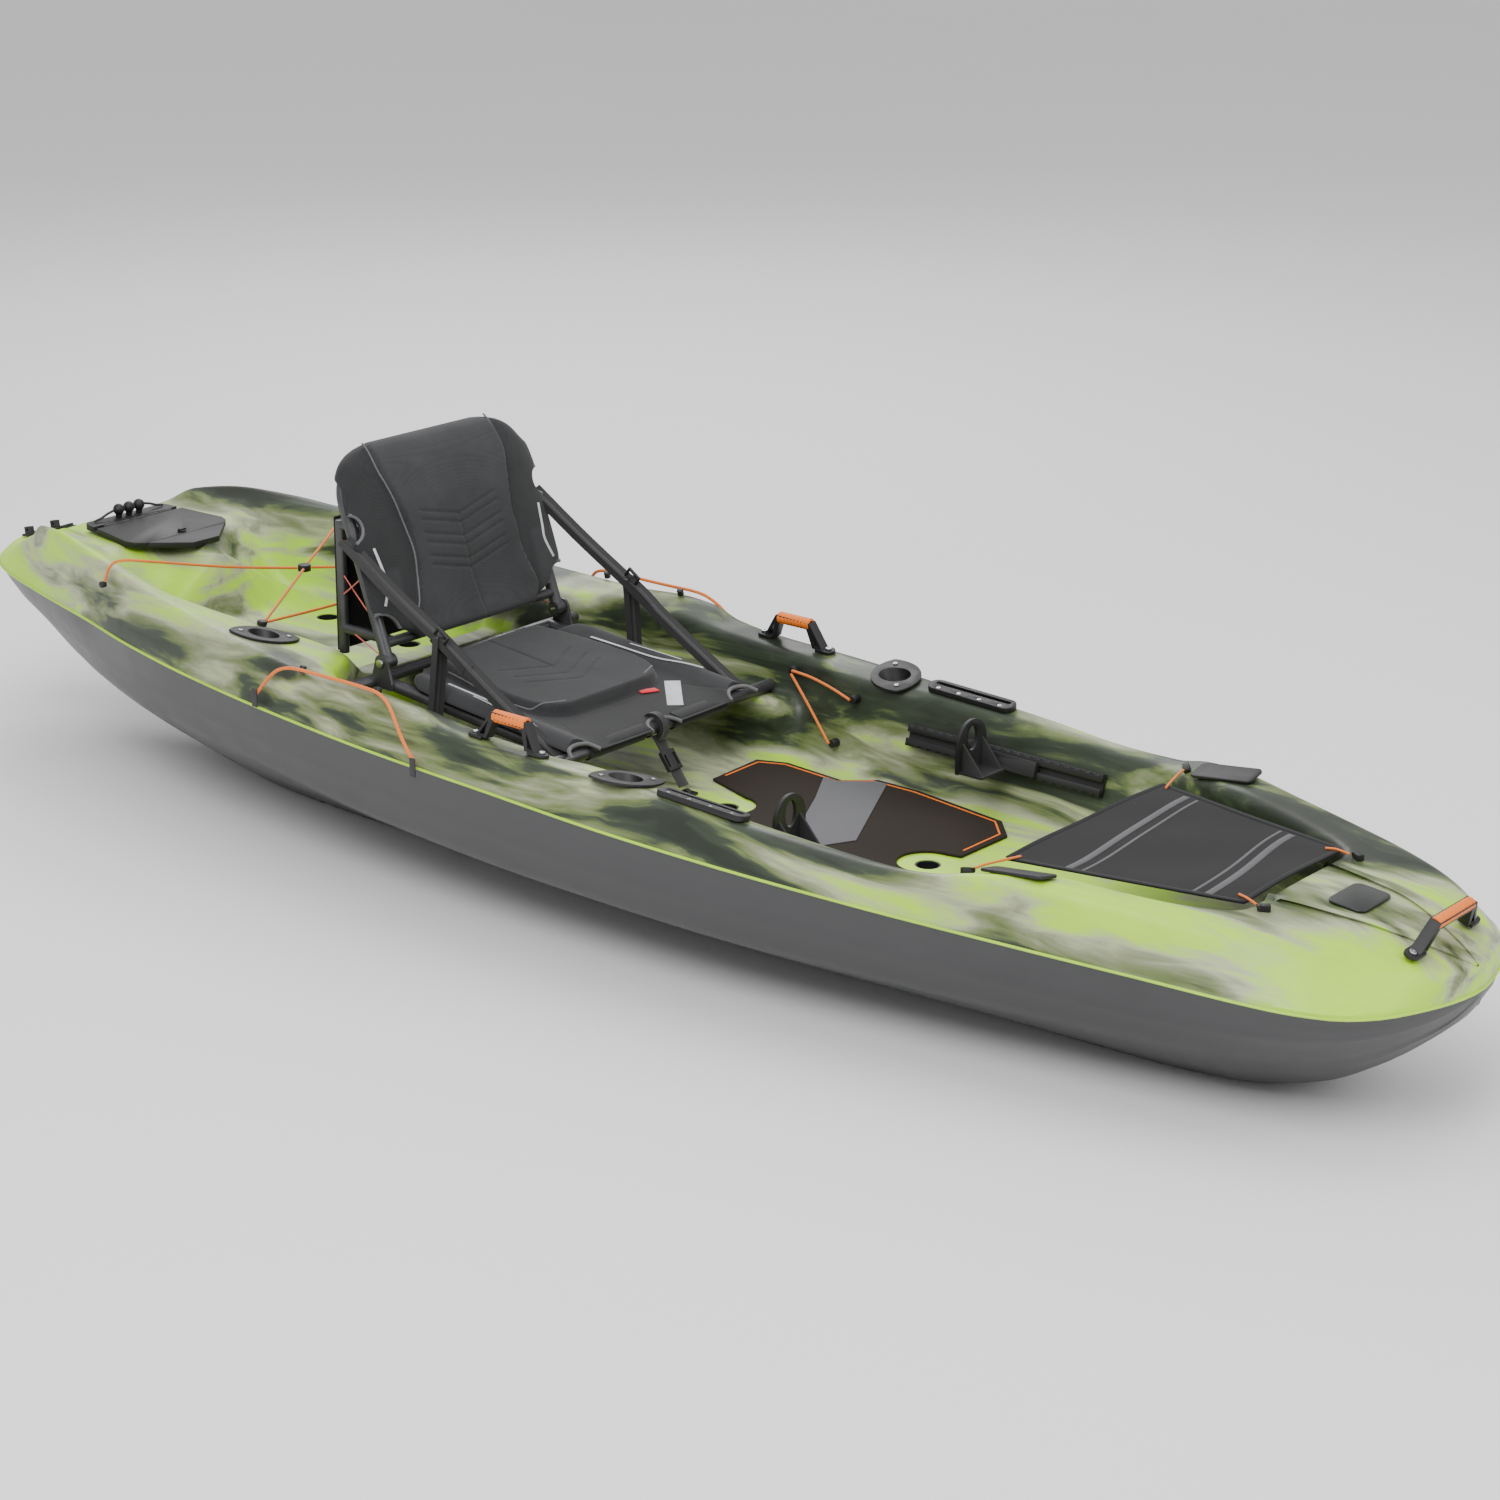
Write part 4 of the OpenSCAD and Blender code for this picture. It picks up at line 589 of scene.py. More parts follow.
def foam(name, colour, cell=0.004):
    """Closed-cell deck foam with a pressed grip of small diamonds."""
    mat, tree, bsdf, tc = begin(name, Roughness=0.88, Specular_IOR_Level=0.25)
    p = tc.outputs["Object"]
    pores = node(tree, "ShaderNodeTexNoise", {"Vector": p, "Scale": 650.0, "Detail": 3.0})
    xyz = node(tree, "ShaderNodeSeparateXYZ", {"Vector": p})
    x, y, turns = xyz.outputs["X"], xyz.outputs["Y"], 2 * math.pi / cell
    a = maths(tree, "SINE", maths(tree, "MULTIPLY", maths(tree, "ADD", x, y), turns))
    b = maths(tree, "SINE", maths(tree, "MULTIPLY", maths(tree, "SUBTRACT", x, y), turns))
    grip = maths(tree, "MULTIPLY_ADD", maths(tree, "MULTIPLY", a, b), 0.5, 0.5)
    height = maths(tree, "MULTIPLY_ADD", grip, 0.7, maths(tree, "MULTIPLY", pores.outputs["Fac"], 0.3))
    # Colour follows the grip's relief: painted shade in the grooves and a painted highlight on the diamond
    # tops; the pores add random tone.
    stops = [(0.15, tuple(c * 0.6 for c in colour)), (0.9, tuple(c * 1.5 for c in colour))]
    tree.links.new(ramp(tree, height, stops), bsdf.inputs["Base Color"])
    bump(tree, bsdf, height, 0.5, 0.0004)
    return mat


def swirled_deck(name, c):
    """Swirled colours drawn out along the hull, with lime and dark patches where they lie."""
    mat, tree, bsdf, tc = begin(name, Roughness=0.42, Specular_IOR_Level=0.45)
    p = tc.outputs["Object"]
    drift = node(tree, "ShaderNodeTexNoise", {"Vector": scaled(tree, p, (1.0, 2.0, 3.0)), "Scale": 1.6,
                                              "Detail": 3.0, "Roughness": 0.5, "Distortion": 0.6})
    moved = node(tree, "ShaderNodeVectorMath", {0: drift.outputs["Color"], 1: (0.34, 0.20, 0.12), 2: p},
                 operation="MULTIPLY_ADD").outputs[0]
    long_swirl = node(tree, "ShaderNodeTexNoise",
                      {"Vector": scaled(tree, moved, (1.15, 3.4, 7.0), (0.3, 0.1, 0.7)), "Scale": 1.25,
                       "Detail": 5.0, "Roughness": 0.5, "Distortion": 1.4})
    streaks = node(tree, "ShaderNodeTexNoise",
                   {"Vector": scaled(tree, moved, (3.0, 22.0, 34.0), (1.3, 0.4, 0.2)), "Scale": 1.1,
                    "Detail": 6.0, "Roughness": 0.6, "Distortion": 0.8})
    value = maths(tree, "MULTIPLY_ADD", maths(tree, "SUBTRACT", long_swirl.outputs["Fac"], 0.5), 1.6, 0.47)
    value = maths(tree, "MULTIPLY_ADD", maths(tree, "SUBTRACT", streaks.outputs["Fac"], 0.5), 0.42, value)
    # Patches: centre, reach along x, y and z, and how much lighter or darker they make the swirl.
    for centre, reach, push in PATCHES:
        away = node(tree, "ShaderNodeVectorMath", {0: p, 1: centre}, operation="SUBTRACT").outputs[0]
        flat = node(tree, "ShaderNodeVectorMath", {0: away, 1: reach}, operation="DIVIDE").outputs[0]
        far = node(tree, "ShaderNodeVectorMath", {0: flat}, operation="LENGTH").outputs["Value"]
        near = node(tree, "ShaderNodeMapRange", {"Value": far, "From Min": 1.0, "From Max": 0.25,
                                                 "To Min": 0.0, "To Max": push},
                    interpolation_type="SMOOTHSTEP").outputs[0]
        value = maths(tree, "ADD", value, near)
    colour = ramp(tree, value, [(0.12, c.dark), (0.28, tuple(v * 2.3 for v in c.dark)),
                                (0.36, c.olive), (0.45, tuple(v * 0.62 for v in c.cream)),
                                (0.53, c.cream),
                                (0.60, tuple(a * 0.5 + b * 0.5 for a, b in zip(c.cream, c.lime))),
                                (0.70, c.lime), (1.0, tuple(min(1, v * 1.12) for v in c.lime))])
    tree.links.new(colour, bsdf.inputs["Base Color"])
    fine = node(tree, "ShaderNodeTexNoise", {"Vector": p, "Scale": 700.0, "Detail": 2.0})
    ripple = node(tree, "ShaderNodeTexNoise", {"Vector": p, "Scale": 12.0, "Detail": 2.0})
    tree.links.new(ramp(tree, ripple.outputs["Fac"], [(0.3, grey(0.36)), (0.7, grey(0.5))]),
                   bsdf.inputs["Roughness"])
    height = maths(tree, "MULTIPLY_ADD", ripple.outputs["Fac"], 6.0, fine.outputs["Fac"])
    bump(tree, bsdf, height, 0.35, 0.00012)
    return mat


PATCHES = [
    ((-1.50, 0.0, 0.34), (0.30, 0.30, 0.30), 0.34),
    ((-1.26, -0.30, 0.36), (0.22, 0.10, 0.10), -0.20),
    ((-1.25, 0.24, 0.42), (0.34, 0.12, 0.10), -0.24),
    ((-1.18, -0.18, 0.42), (0.30, 0.12, 0.10), 0.16),
    ((-1.02, 0.0, 0.34), (0.16, 0.20, 0.14), 0.22),
    ((-0.80, 0.12, 0.30), (0.36, 0.22, 0.14), 0.28),
    ((-1.00, 0.30, 0.42), (0.55, 0.16, 0.16), -0.30),
    ((-1.02, -0.32, 0.36), (0.34, 0.12, 0.10), -0.16),
    ((-0.60, -0.38, 0.34), (0.30, 0.12, 0.12), -0.10),
    ((-0.20, -0.42, 0.32), (0.50, 0.12, 0.14), -0.14),
    ((0.15, 0.36, 0.28), (0.55, 0.16, 0.22), -0.26),
    ((0.20, -0.36, 0.36), (0.40, 0.10, 0.12), 0.10),
    ((0.55, -0.42, 0.30), (0.34, 0.12, 0.12), -0.18),
    ((0.55, 0.36, 0.30), (0.40, 0.14, 0.16), -0.18),
    ((0.55, 0.0, 0.16), (0.75, 0.42, 0.09), 0.40),
    ((1.00, 0.24, 0.34), (0.30, 0.16, 0.16), -0.12),
    ((1.05, -0.26, 0.33), (0.42, 0.14, 0.12), 0.36),
    ((1.25, 0.22, 0.28), (0.36, 0.14, 0.14), -0.10),
    ((1.38, 0.02, 0.30), (0.16, 0.18, 0.06), -0.06),
    ((1.46, -0.16, 0.24), (0.26, 0.16, 0.14), 0.36),
]


# ---------------------------------------------------------------- shells

SCUPPERS = [(205, 0), (622, 0), (-300, 120), (-300, -120), (-640, 105), (-640, -105),
            (-880, 130), (-880, -130)]
ROD_SITES = [(292, 1), (292, -1), (-592, 1), (-592, -1)]
ROD_LEAN = 25
DRAIN_X, DRAIN_PITCH = -1477.5, 21.2781


def rod_frame(x, s):
    a, b = at(CREST, x), at(INNER, x)
    return on_rail(x, (a[0] + b[0]) / 2 + 2, s, 50) @ Matrix.Rotation(math.radians(-ROD_LEAN), 4, "Y")


def loft(name, section, wall, way, step):
    """A closed shell: the sections' outside, the same moved in by the wall, and the rim."""
    xs = stations(step)
    outer, inner = [], []
    for x in xs:
        points = section(x)
        outer.append([Vector((x, p[0], p[1])) * MM for p in points])
        lining = x * (BOW - wall) / BOW
        inner.append([Vector((lining, p[0], p[1])) * MM for p in inset(points, wall, way)])
    n, m = len(outer[0]), len(xs)
    verts = [p for row in outer for p in row] + [p for row in inner for p in row]
    o = m * n

    def turn(f):
        return f if way < 0 else tuple(reversed(f))
    faces = []
    for i in range(m - 1):
        for j in range(n - 1):
            a = i * n + j
            faces.append(turn((a, a + n, a + n + 1, a + 1)))
            faces.append(turn((o + a, o + a + 1, o + a + n + 1, o + a + n)))
        a, b = i * n, i * n + n - 1
        faces.append(turn((a, o + a, o + a + n, a + n)))
        faces.append(turn((b, b + n, o + b + n, o + b)))
    last = (m - 1) * n
    faces += [turn(tuple(range(n))), turn(tuple(o + j for j in reversed(range(n)))),
              turn(tuple(last + j for j in reversed(range(n)))), turn(tuple(o + last + j for j in range(n))),
              turn((n - 1, o + n - 1, o, 0)), turn((o + last, o + last + n - 1, last + n - 1, last))]
    return new_mesh(name, verts, faces)


def post(x, y, r, z0, z1, frame_matrix=None):
    """A cutter: a round post from z0 to z1."""
    clear_selection()
    bpy.ops.mesh.primitive_cylinder_add(vertices=48, radius=r * MM, depth=(z1 - z0) * MM,
                                        location=(x * MM, y * MM, (z0 + z1) / 2 * MM))
    obj = place_in_mesh(bpy.context.object)
    if frame_matrix is not None:
        obj.data.transform(frame_matrix)
    return obj


def cut(obj, cutters):
    """Cuts the cutters out of the object."""
    tool = join("cutter", cutters)
    m = obj.modifiers.new("holes", "BOOLEAN")
    m.operation, m.object, m.solver = "DIFFERENCE", tool, "MANIFOLD"
    apply_modifiers(obj)
    bpy.data.objects.remove(tool, do_unlink=True)
    return obj


class KAYAK_OT_shells(bpy.types.Operator):
    """Lofts the deck and the bottom shell, cuts their holes and lays the bead along the seam"""
    bl_idname = "kayak.shells"
    bl_label = "Shells"

    def execute(self, context):
        sizes, c = context.scene.kayak_sizes, context.scene.kayak_colours
        wall = sizes.shell_wall / MM
        step = sizes.station_step / MM * 1
        deck = loft("deck_shell", deck_section, wall, 1, step)
        holes = [post(x, y, 21.4, 120, 330) for x, y in SCUPPERS]
        holes += [post(0, 0, 28.5, -45, 35, rod_frame(x, s)) for x, s in ROD_SITES]
        drain = (Matrix.Translation((DRAIN_X * MM, 0, table(MIDDLE, DRAIN_X, 1) * MM))
                 @ Matrix.Rotation(math.radians(-DRAIN_PITCH), 4, "Y"))
        holes.append(post(0, 0, 17, -30, 20, drain))
        cut(deck, holes)
        smooth(deck, 40)
        piece(deck, "hull", "deck_camo", swirled_deck("swirled_deck", c), "deck")

        bottom = loft("bottom_shell", hull_section, wall, -1, step)
        cut(bottom, [post(x, y, 21.4, -20, 330) for x, y in SCUPPERS])
        smooth(bottom, 40)
        charcoal = moulded("charcoal_shell", tuple(c.charcoal), 0.40, 0.0001, 0.06)
        piece(bottom, "hull", "hull_charcoal", charcoal, "hull_bottom")

        xs = [x for x in stations(20)]
        line = [Vector((x, table(SEAM, x, 1) + 0.4, table(SEAM, x, 2) + 0.6)) * MM for x in xs]
        line += [Vector((p[0], -p[1], p[2])) for p in reversed(line)]
        r = sizes.lip / 2
        bead = sweep("seam_bead", line, [(a, b * 0.8) for a, b in round_outline(r, 8)])
        lime = moulded("lime_bead", tuple(v * 0.95 for v in c.lime), 0.4, 0.00008, 0.1)
        piece(bead, "hull", "deck_camo", lime)
        return {"FINISHED"}


# ---------------------------------------------------------------- fittings

def shown(node_name, name, body, slot, material, width=0.0012, segments=2, limit=32):
    """A finished copy of a hard CAD node, with its edges broken."""
    return piece(rounded_copy(node_name, name, width, segments, limit), body, slot, material, node_name)


def sleeve_profile(length, r, ribs):
    """Radius along a ribbed grip sleeve: (distance, radius) pairs in metres."""
    out = [(0, r * 0.86), (0.0012, r), (0.006, r), (0.0066, r * 0.93)]
    n = ribs
    a, b = 0.008, length - 0.008
    for i in range(n):
        x0, x1 = a + (b - a) * i / n, a + (b - a) * (i + 1) / n
        w = x1 - x0
        out += [(x0 + 0.12 * w, r * 0.93), (x0 + 0.25 * w, r * 0.99),
                (x0 + 0.75 * w, r * 0.99), (x0 + 0.88 * w, r * 0.93)]
    return out + [(length - 0.0066, r * 0.93), (length - 0.006, r), (length - 0.0012, r), (length, r * 0.86)]


def turned(name, start, axis, profile, sides=40, bore=0.0):
    """A turned form: (distance, radius) pairs along an axis, closed at both ends."""
    start, axis = Vector(start), Vector(axis).normalized()
    side = axis.orthogonal().normalized()
    other = axis.cross(side)
    verts, faces = [], []
    rows = list(profile)
    if bore:
        rows += [(d, bore) for d, _ in (profile[-1], profile[0])]
    for d, r in rows:
        verts += [start + axis * d + (side * math.cos(2 * math.pi * k / sides)
                                      + other * math.sin(2 * math.pi * k / sides)) * r for k in range(sides)]
    n = len(rows)
    last = n if bore else n - 1
    for i in range(last):
        for k in range(sides):
            a, b = i * sides + k, i * sides + (k + 1) % sides
            c, d = ((i + 1) % n) * sides + (k + 1) % sides, ((i + 1) % n) * sides + k
            faces.append((a, b, c, d))
    if not bore:
        faces += [tuple(reversed(range(sides))), tuple((n - 1) * sides + k for k in range(sides))]
    return smooth(outward(new_mesh(name, verts, faces)), 40)


class KAYAK_OT_handles(bpy.types.Operator):
    """Finishes the carry handles at the sides and the bow, with their ribbed sleeves and screws"""
    bl_idname = "kayak.handles"
    bl_label = "Handles"

    def execute(self, context):
        c = context.scene.kayak_colours
        plastic = moulded("black_moulding", (0.010, 0.010, 0.011), 0.52, 0.00014, 0.2)
        rubber = moulded("orange_grip", tuple(c.orange), 0.55, 0.00012, 0.08)
        steel = metal("stainless", (0.55, 0.56, 0.58), 0.26)
        for side in ("left", "right"):
            shown(f"side_handle_{side}", f"carry_handle_{side}", "hull", "black_plastic", plastic, 0.0018, 3)
            low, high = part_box(f"side_grip_{side}")
            mid = (Vector(low) + Vector(high)) / 2
            r = (high[2] - low[2]) / 2
            grip = turned(f"carry_sleeve_{side}", (low[0], mid[1], mid[2]), (1, 0, 0),
                          sleeve_profile(high[0] - low[0], r, 7), bore=r * 0.62)
            piece(grip, "hull", "grip_rubber", rubber, f"side_grip_{side}")
        shown("bow_handle", "bow_carry_handle", "hull", "black_plastic", plastic, 0.0018, 3)
        low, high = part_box("bow_grip")
        mid = (Vector(low) + Vector(high)) / 2
        r = (high[2] - low[2]) / 2
        grip = turned("bow_sleeve", (mid[0], low[1], mid[2]), (0, 1, 0),
                      sleeve_profile(high[1] - low[1], r, 9), bore=r * 0.62)
        piece(grip, "hull", "grip_rubber", rubber, "bow_grip")
        for n in ("handle_screws", "track_screws", "rod_holder_screws", "hinge_bolts", "hatch_pin"):
            shown(n, n + "_finished", "hull", "steel", steel, 0.0004, 2)
        return {"FINISHED"}


class KAYAK_OT_fittings(bpy.types.Operator):
    """Finishes the moulded fittings: rod holders, tracks, hooks, rails, hatch, plugs and the bow badge"""
    bl_idname = "kayak.fittings"
    bl_label = "Fittings"

    def execute(self, context):
        plastic = bpy.data.materials["black_moulding"]
        body_of = {"foot_pedal_left": "foot_pedal_left", "foot_pedal_right": "foot_pedal_right",
                   "hatch_lid": "hatch_lid", "hatch_latch": "hatch_latch", "drain_plug": "drain_plug"}
        for n, width in (("rod_holder_front_left", 0.0012), ("rod_holder_front_right", 0.0012),
                         ("rod_holder_rear_left", 0.0012), ("rod_holder_rear_right", 0.0012),
                         ("gear_track_left", 0.0010), ("gear_track_right", 0.0010),
                         ("cover_pads", 0.0014), ("cover_hooks", 0.0009),
                         ("foot_rail_left", 0.0010), ("foot_rail_right", 0.0010),
                         ("foot_pedal_left", 0.0020), ("foot_pedal_right", 0.0020),
                         ("paddle_hooks", 0.0012), ("wall_hooks", 0.0009), ("tank_hooks", 0.0012),
                         ("stern_fitting", 0.0016), ("hatch_base", 0.0010), ("hatch_lid", 0.0016),
                         ("hatch_latch", 0.0012), ("drain_plug", 0.0010), ("drain_socket", 0.0008),
                         ("toggle_balls", 0.0008), ("strap_eye", 0.0010), ("scupper_tubes", 0.0)):
            shown(n, n + "_finished", body_of.get(n, "hull"), "black_plastic", plastic, width)
        badge = rounded_copy("badge", "bow_badge", 0.0012)
        dark = moulded("badge_dark", (0.012, 0.016, 0.013), 0.3, 0.00006)
        piece(badge, "hull", "black_plastic", dark, "badge")
        blocks = rounded_copy("foam_blocks", "flotation_foam", 0.003)
        piece(blocks, "hull", "foam_white", foam("white_foam", (0.72, 0.72, 0.69), 0.009), "foam_blocks")
        coat = metal("grey_coat", (0.075, 0.075, 0.08), 0.42, 0.15, 0.6)
        shown("seat_base_frame", "seat_base_tubes", "hull", "frame_aluminium", coat, 0.0006)
        shown("seat_back_frame", "seat_back_tubes", "seat_back", "frame_aluminium", coat, 0.0006)
        return {"FINISHED"}


class KAYAK_OT_floor(bpy.types.Operator):
    """Makes the foam floor pad with its grey inlay and its coloured edge line"""
    bl_idname = "kayak.floor"
    bl_label = "Floor pad"

    def execute(self, context):
        c = context.scene.kayak_colours
        brown = foam("brown_foam", (0.022, 0.016, 0.012), 0.0034)
        shown("floor_pad", "foam_floor_pad", "hull", "pad_foam", brown, 0.0016, 3)
        inlay = foam("grey_foam", (0.13, 0.13, 0.14), 0.0034)
        shown("floor_inlay", "foam_floor_inlay", "hull", "inlay_grey", inlay, 0.0006)
        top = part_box("floor_pad")[1][2]
        # The line runs just inside the pad's edge, from notch to notch on each side.
        half = [(112, 110), (110, 202), (154, 222), (276, 211), (322, 252), (410, 252), (598, 221), (638, 177),
                (637, 76)]
        lines = []
        for s in (1, -1):
            run = [Vector((x * MM, s * y * MM, top + 0.0002)) for x, y in half]
            dense = []
            for a, b in zip(run, run[1:]):
                dense += [a.lerp(b, i / 8) for i in range(8)]
            dense.append(run[-1])
            lines.append(sweep("edge_line", dense, flat_outline(0.0034, 0.0010)))
        edge = join("floor_edge_line", lines)
        piece(edge, "hull", "pad_foam", foam("orange_foam", tuple(c.orange), 0.0034))
        return {"FINISHED"}


class KAYAK_OT_cover(bpy.types.Operator):
    """Makes the cloth cover of the bow well with its hem and its bands"""
    bl_idname = "kayak.cover"
    bl_label = "Bow cover"

    def execute(self, context):
        cloth = woven("cover_cloth", (0.010, 0.010, 0.011), 0.0012, 0.00018, 0.08)
        grey_cloth = woven("cover_band_cloth", (0.075, 0.075, 0.08), 0.0012, 0.00018, 0.2)
        low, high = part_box("bow_cover")
        x0, x1 = low[0], high[0]
        z1 = high[2]

        def half_width(x):
            t = (x - x0) / (x1 - x0)
            return 0.220 + (0.145 - 0.220) * t

        def height(x, y):
            t, w = (x - x0) / (x1 - x0), abs(y) / half_width(x)
            sag = 0.006 * math.sin(math.pi * min(1, max(0, t))) * (1 - w * w)
            ripple = 0.0014 * math.sin(24 * y + 9 * x) * math.sin(31 * x + 2) * (1 - w ** 4)
            crown = 0.004 * (1 - w * w)
            return z1 + crown - sag + ripple

        n, m = ((60, 64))
        verts, faces = [], []
        for layer in (0, 1):
            for i in range(n + 1):
                t = i / n
                x = x0 + (x1 - x0) * t
                for j in range(m + 1):
                    v = 2 * j / m - 1
                    w = half_width(x)
                    ends = min(t, 1 - t)
                    y = v * w
                    z = height(x, y)
                    edge = min(1, min(ends * (x1 - x0), (1 - abs(v)) * w) / 0.006)
                    thick = 0.0032 * (edge * (2 - edge)) ** 0.5
                    inward = (0.0032 - thick) / 2
                    verts.append(Vector((x, y, z - inward if layer == 0 else z - 0.0032 + inward)))
        k = m + 1
        top = (n + 1) * k
        for i in range(n):
            for j in range(m):
                a = i * k + j
                faces.append((a, a + k, a + k + 1, a + 1))
                faces.append((top + a, top + a + 1, top + a + k + 1, top + a + k))
        for i in range(n):
            a, b = i * k, i * k + m
            faces.append((a, top + a, top + a + k, a + k))
            faces.append((b, b + k, top + b + k, top + b))
        for j in range(m):
            faces.append((j, j + 1, top + j + 1, top + j))
            a = n * k + j
            faces.append((a, top + a, top + a + 1, a + 1))
        cover = smooth(outward(new_mesh("bow_well_cover", verts, faces)), 50)
        piece(cover, "hull", "cover_fabric", cloth, "bow_cover")
        # Hem welts round the edge, and two pairs of bands across.
        loop = []
        for a, b in (((x0, -1), (x1, -1)), ((x1, -1), (x1, 1)), ((x1, 1), (x0, 1)), ((x0, 1), (x0, -1))):
            for i in range(24):
                t = i / 24
                x, v = a[0] + (b[0] - a[0]) * t, a[1] + (b[1] - a[1]) * t
                y = v * (half_width(x) - 0.006)
                x = min(x1 - 0.006, max(x0 + 0.006, x))
                loop.append(Vector((x, y, height(x, y) + 0.0001)))
        loop.append(loop[0])
        hem = sweep("cover_hem", loop, flat_outline(0.011, 0.0012), closed_ends=False)
        piece(hem, "hull", "cover_fabric", cloth)
        bands = []
        for bx, width in ((x0 + 0.080, 0.012), (x0 + 0.102, 0.005), (x1 - 0.075, 0.012), (x1 - 0.097, 0.005)):
            w = half_width(bx) - 0.014
            run = [Vector((bx + 0.016 * math.cos(math.pi * j / 40), w * (2 * j / 40 - 1), 0))
                   for j in range(41)]
            run = [Vector((p[0], p[1], height(p[0], p[1]) + 0.0002)) for p in run]
            bands.append(sweep("band", run, flat_outline(width, 0.0009)))
        piece(join("cover_bands", bands), "hull", "cover_fabric", grey_cloth)
        return {"FINISHED"}


COVER_AFT = [(934, 200, 320), (925, 232, 321), (917, 264, 322), (912, 287, 321)]
COVER_FORE = [(1262, 124, 320), (1276, 129, 320.4), (1288, 132, 318.4), (1297.5, 134, 316)]
PADDLE_ROUTE = [(-490, 409, 326), (-474, 409, 344), (-458, 407, 362), (-440, 402, 377), (-412, 397, 384),
                (-360, 396, 385), (-300, 395, 385), (-245, 396, 385), (-208, 400, 384), (-182, 407, 378),
                (-160, 415, 364), (-142, 422, 346), (-124, 428, 328), (-104, 433, 310), (-90, 436, 298)]
WALL_ROUTES = [[(95, 313, 314), (140, 309, 312), (190, 300, 306), (240, 289, 297)],
               [(93, 313, 307.5), (150, 293, 264), (209, 272.5, 215)]]
TANK_ROUTES = [[(-988, 312, 410), (-978, 306, 438), (-966, 288, 448), (-935, 240, 441), (-870, 120, 418),
                (-808.2, 10.2, 404)],
               [(-791.8, 10.2, 404), (-720, 124, 395), (-651.4, 236.2, 384)]]
TANK_ACROSS = [(-645, 237, 384), (-643, 120, 381), (-642, 0, 380), (-643, -120, 381), (-645, -237, 384)]


class KAYAK_OT_cords(bpy.types.Operator):
    """Makes the braided elastic cords with their loops and the hatch's toggle cords"""
    bl_idname = "kayak.cords"
    bl_label = "Cords"

    def execute(self, context):
        c, sizes = context.scene.kayak_colours, context.scene.kayak_sizes
        orange = braid("orange_braid", tuple(c.orange), (0.08, 0.02, 0.005))
        black = braid("black_braid", (0.014, 0.014, 0.015), (0.06, 0.06, 0.065))

        def run(points, s, r):
            return sweep("cord", spline(mm(points, s), 6), round_outline(r, 10))
        groups = (("cover_cords", [COVER_AFT, COVER_FORE], 0.002),
                  ("paddle_cords", [PADDLE_ROUTE], sizes.cord / 2),
                  ("wall_cords", WALL_ROUTES, 0.0025),
                  ("tank_cords", TANK_ROUTES, 0.0025))
        for name, routes, r in groups:
            cords = [run(route, s, r) for route in routes for s in (1, -1)]
            if name == "tank_cords":
                cords.append(run(TANK_ACROSS, 1, r))
            piece(join(name + "_braided", cords), "hull", "orange_cord", orange, name)
        loops = rounded_copy("cord_loops", "keeper_loops", 0.0008)
        piece(loops, "hull", "grey_webbing", moulded("loop_grey", (0.03, 0.03, 0.032), 0.6), "cord_loops")
        shown("toggle_cords", "toggle_cords_braided", "hull", "black_cord", black, 0.0)
        return {"FINISHED"}


# ---------------------------------------------------------------- seat

HINGE = Vector((-0.370, 0, 0.362))
LEAN = math.radians(20)
BASE_SLOPE = math.atan2(46, 440)


def base_point(x, y, h):
    """A point over the seat base's tubes: x along the hull, h up from the tubes' plane, in mm."""
    z = 326 - (x + 392) * 46 / 440
    return Vector((x + h * math.sin(BASE_SLOPE), y, z + h * math.cos(BASE_SLOPE))) * MM


def back_point(t, y, n):
    """A point on the seat back: t up the back from the hinge, n forward of its tubes, in mm."""
    return HINGE + Vector((n * math.cos(LEAN) - t * math.sin(LEAN), y,
                           n * math.sin(LEAN) + t * math.cos(LEAN))) * MM


def steps(rows, x):
    """Smooth interpolation in a short list of (x, value)."""
    return table(rows, x, 1)


def soft(x, edge, width):
    """1 inside the edge and 0 outside it, with a soft step."""
    t = max(0, min(1, (edge - x) / width + 0.5))
    return t * t * (3 - 2 * t)


def ditch(d, width):
    """The cross-section of a sewn channel: 1 on its line, falling to 0 beside it."""
    return math.exp(-(d / width) ** 2)


def segment_distance(px, py, ax, ay, bx, by):
    """Distance from a point to a stretch of line, in the plane."""
    dx, dy = bx - ax, by - ay
    t = max(0, min(1, ((px - ax) * dx + (py - ay) * dy) / (dx * dx + dy * dy)))
    return math.hypot(px - ax - t * dx, py - ay - t * dy)


BASE_WIDTH = [(-352, 150), (-338, 166), (-326, 196), (-306, 218), (-280, 230), (-200, 233),
              (20, 233), (52, 232), (66, 226), (76, 214)]
BASE_SEAM = [(-352, 128), (-300, 142), (-220, 156), (-130, 160), (-90, 148), (-66, 118), (-54, 60), (-50, 0)]


def base_pad_mask(x, y):
    """1 on the raised middle pad of the base."""
    if x < -130:
        return soft(abs(y), steps(BASE_SEAM, x), 14)
    r = 70
    dx, dy = max(0, x + 130 - 8), max(0, abs(y) - 158 + r)
    return soft(math.hypot(dx, dy), r, 14)


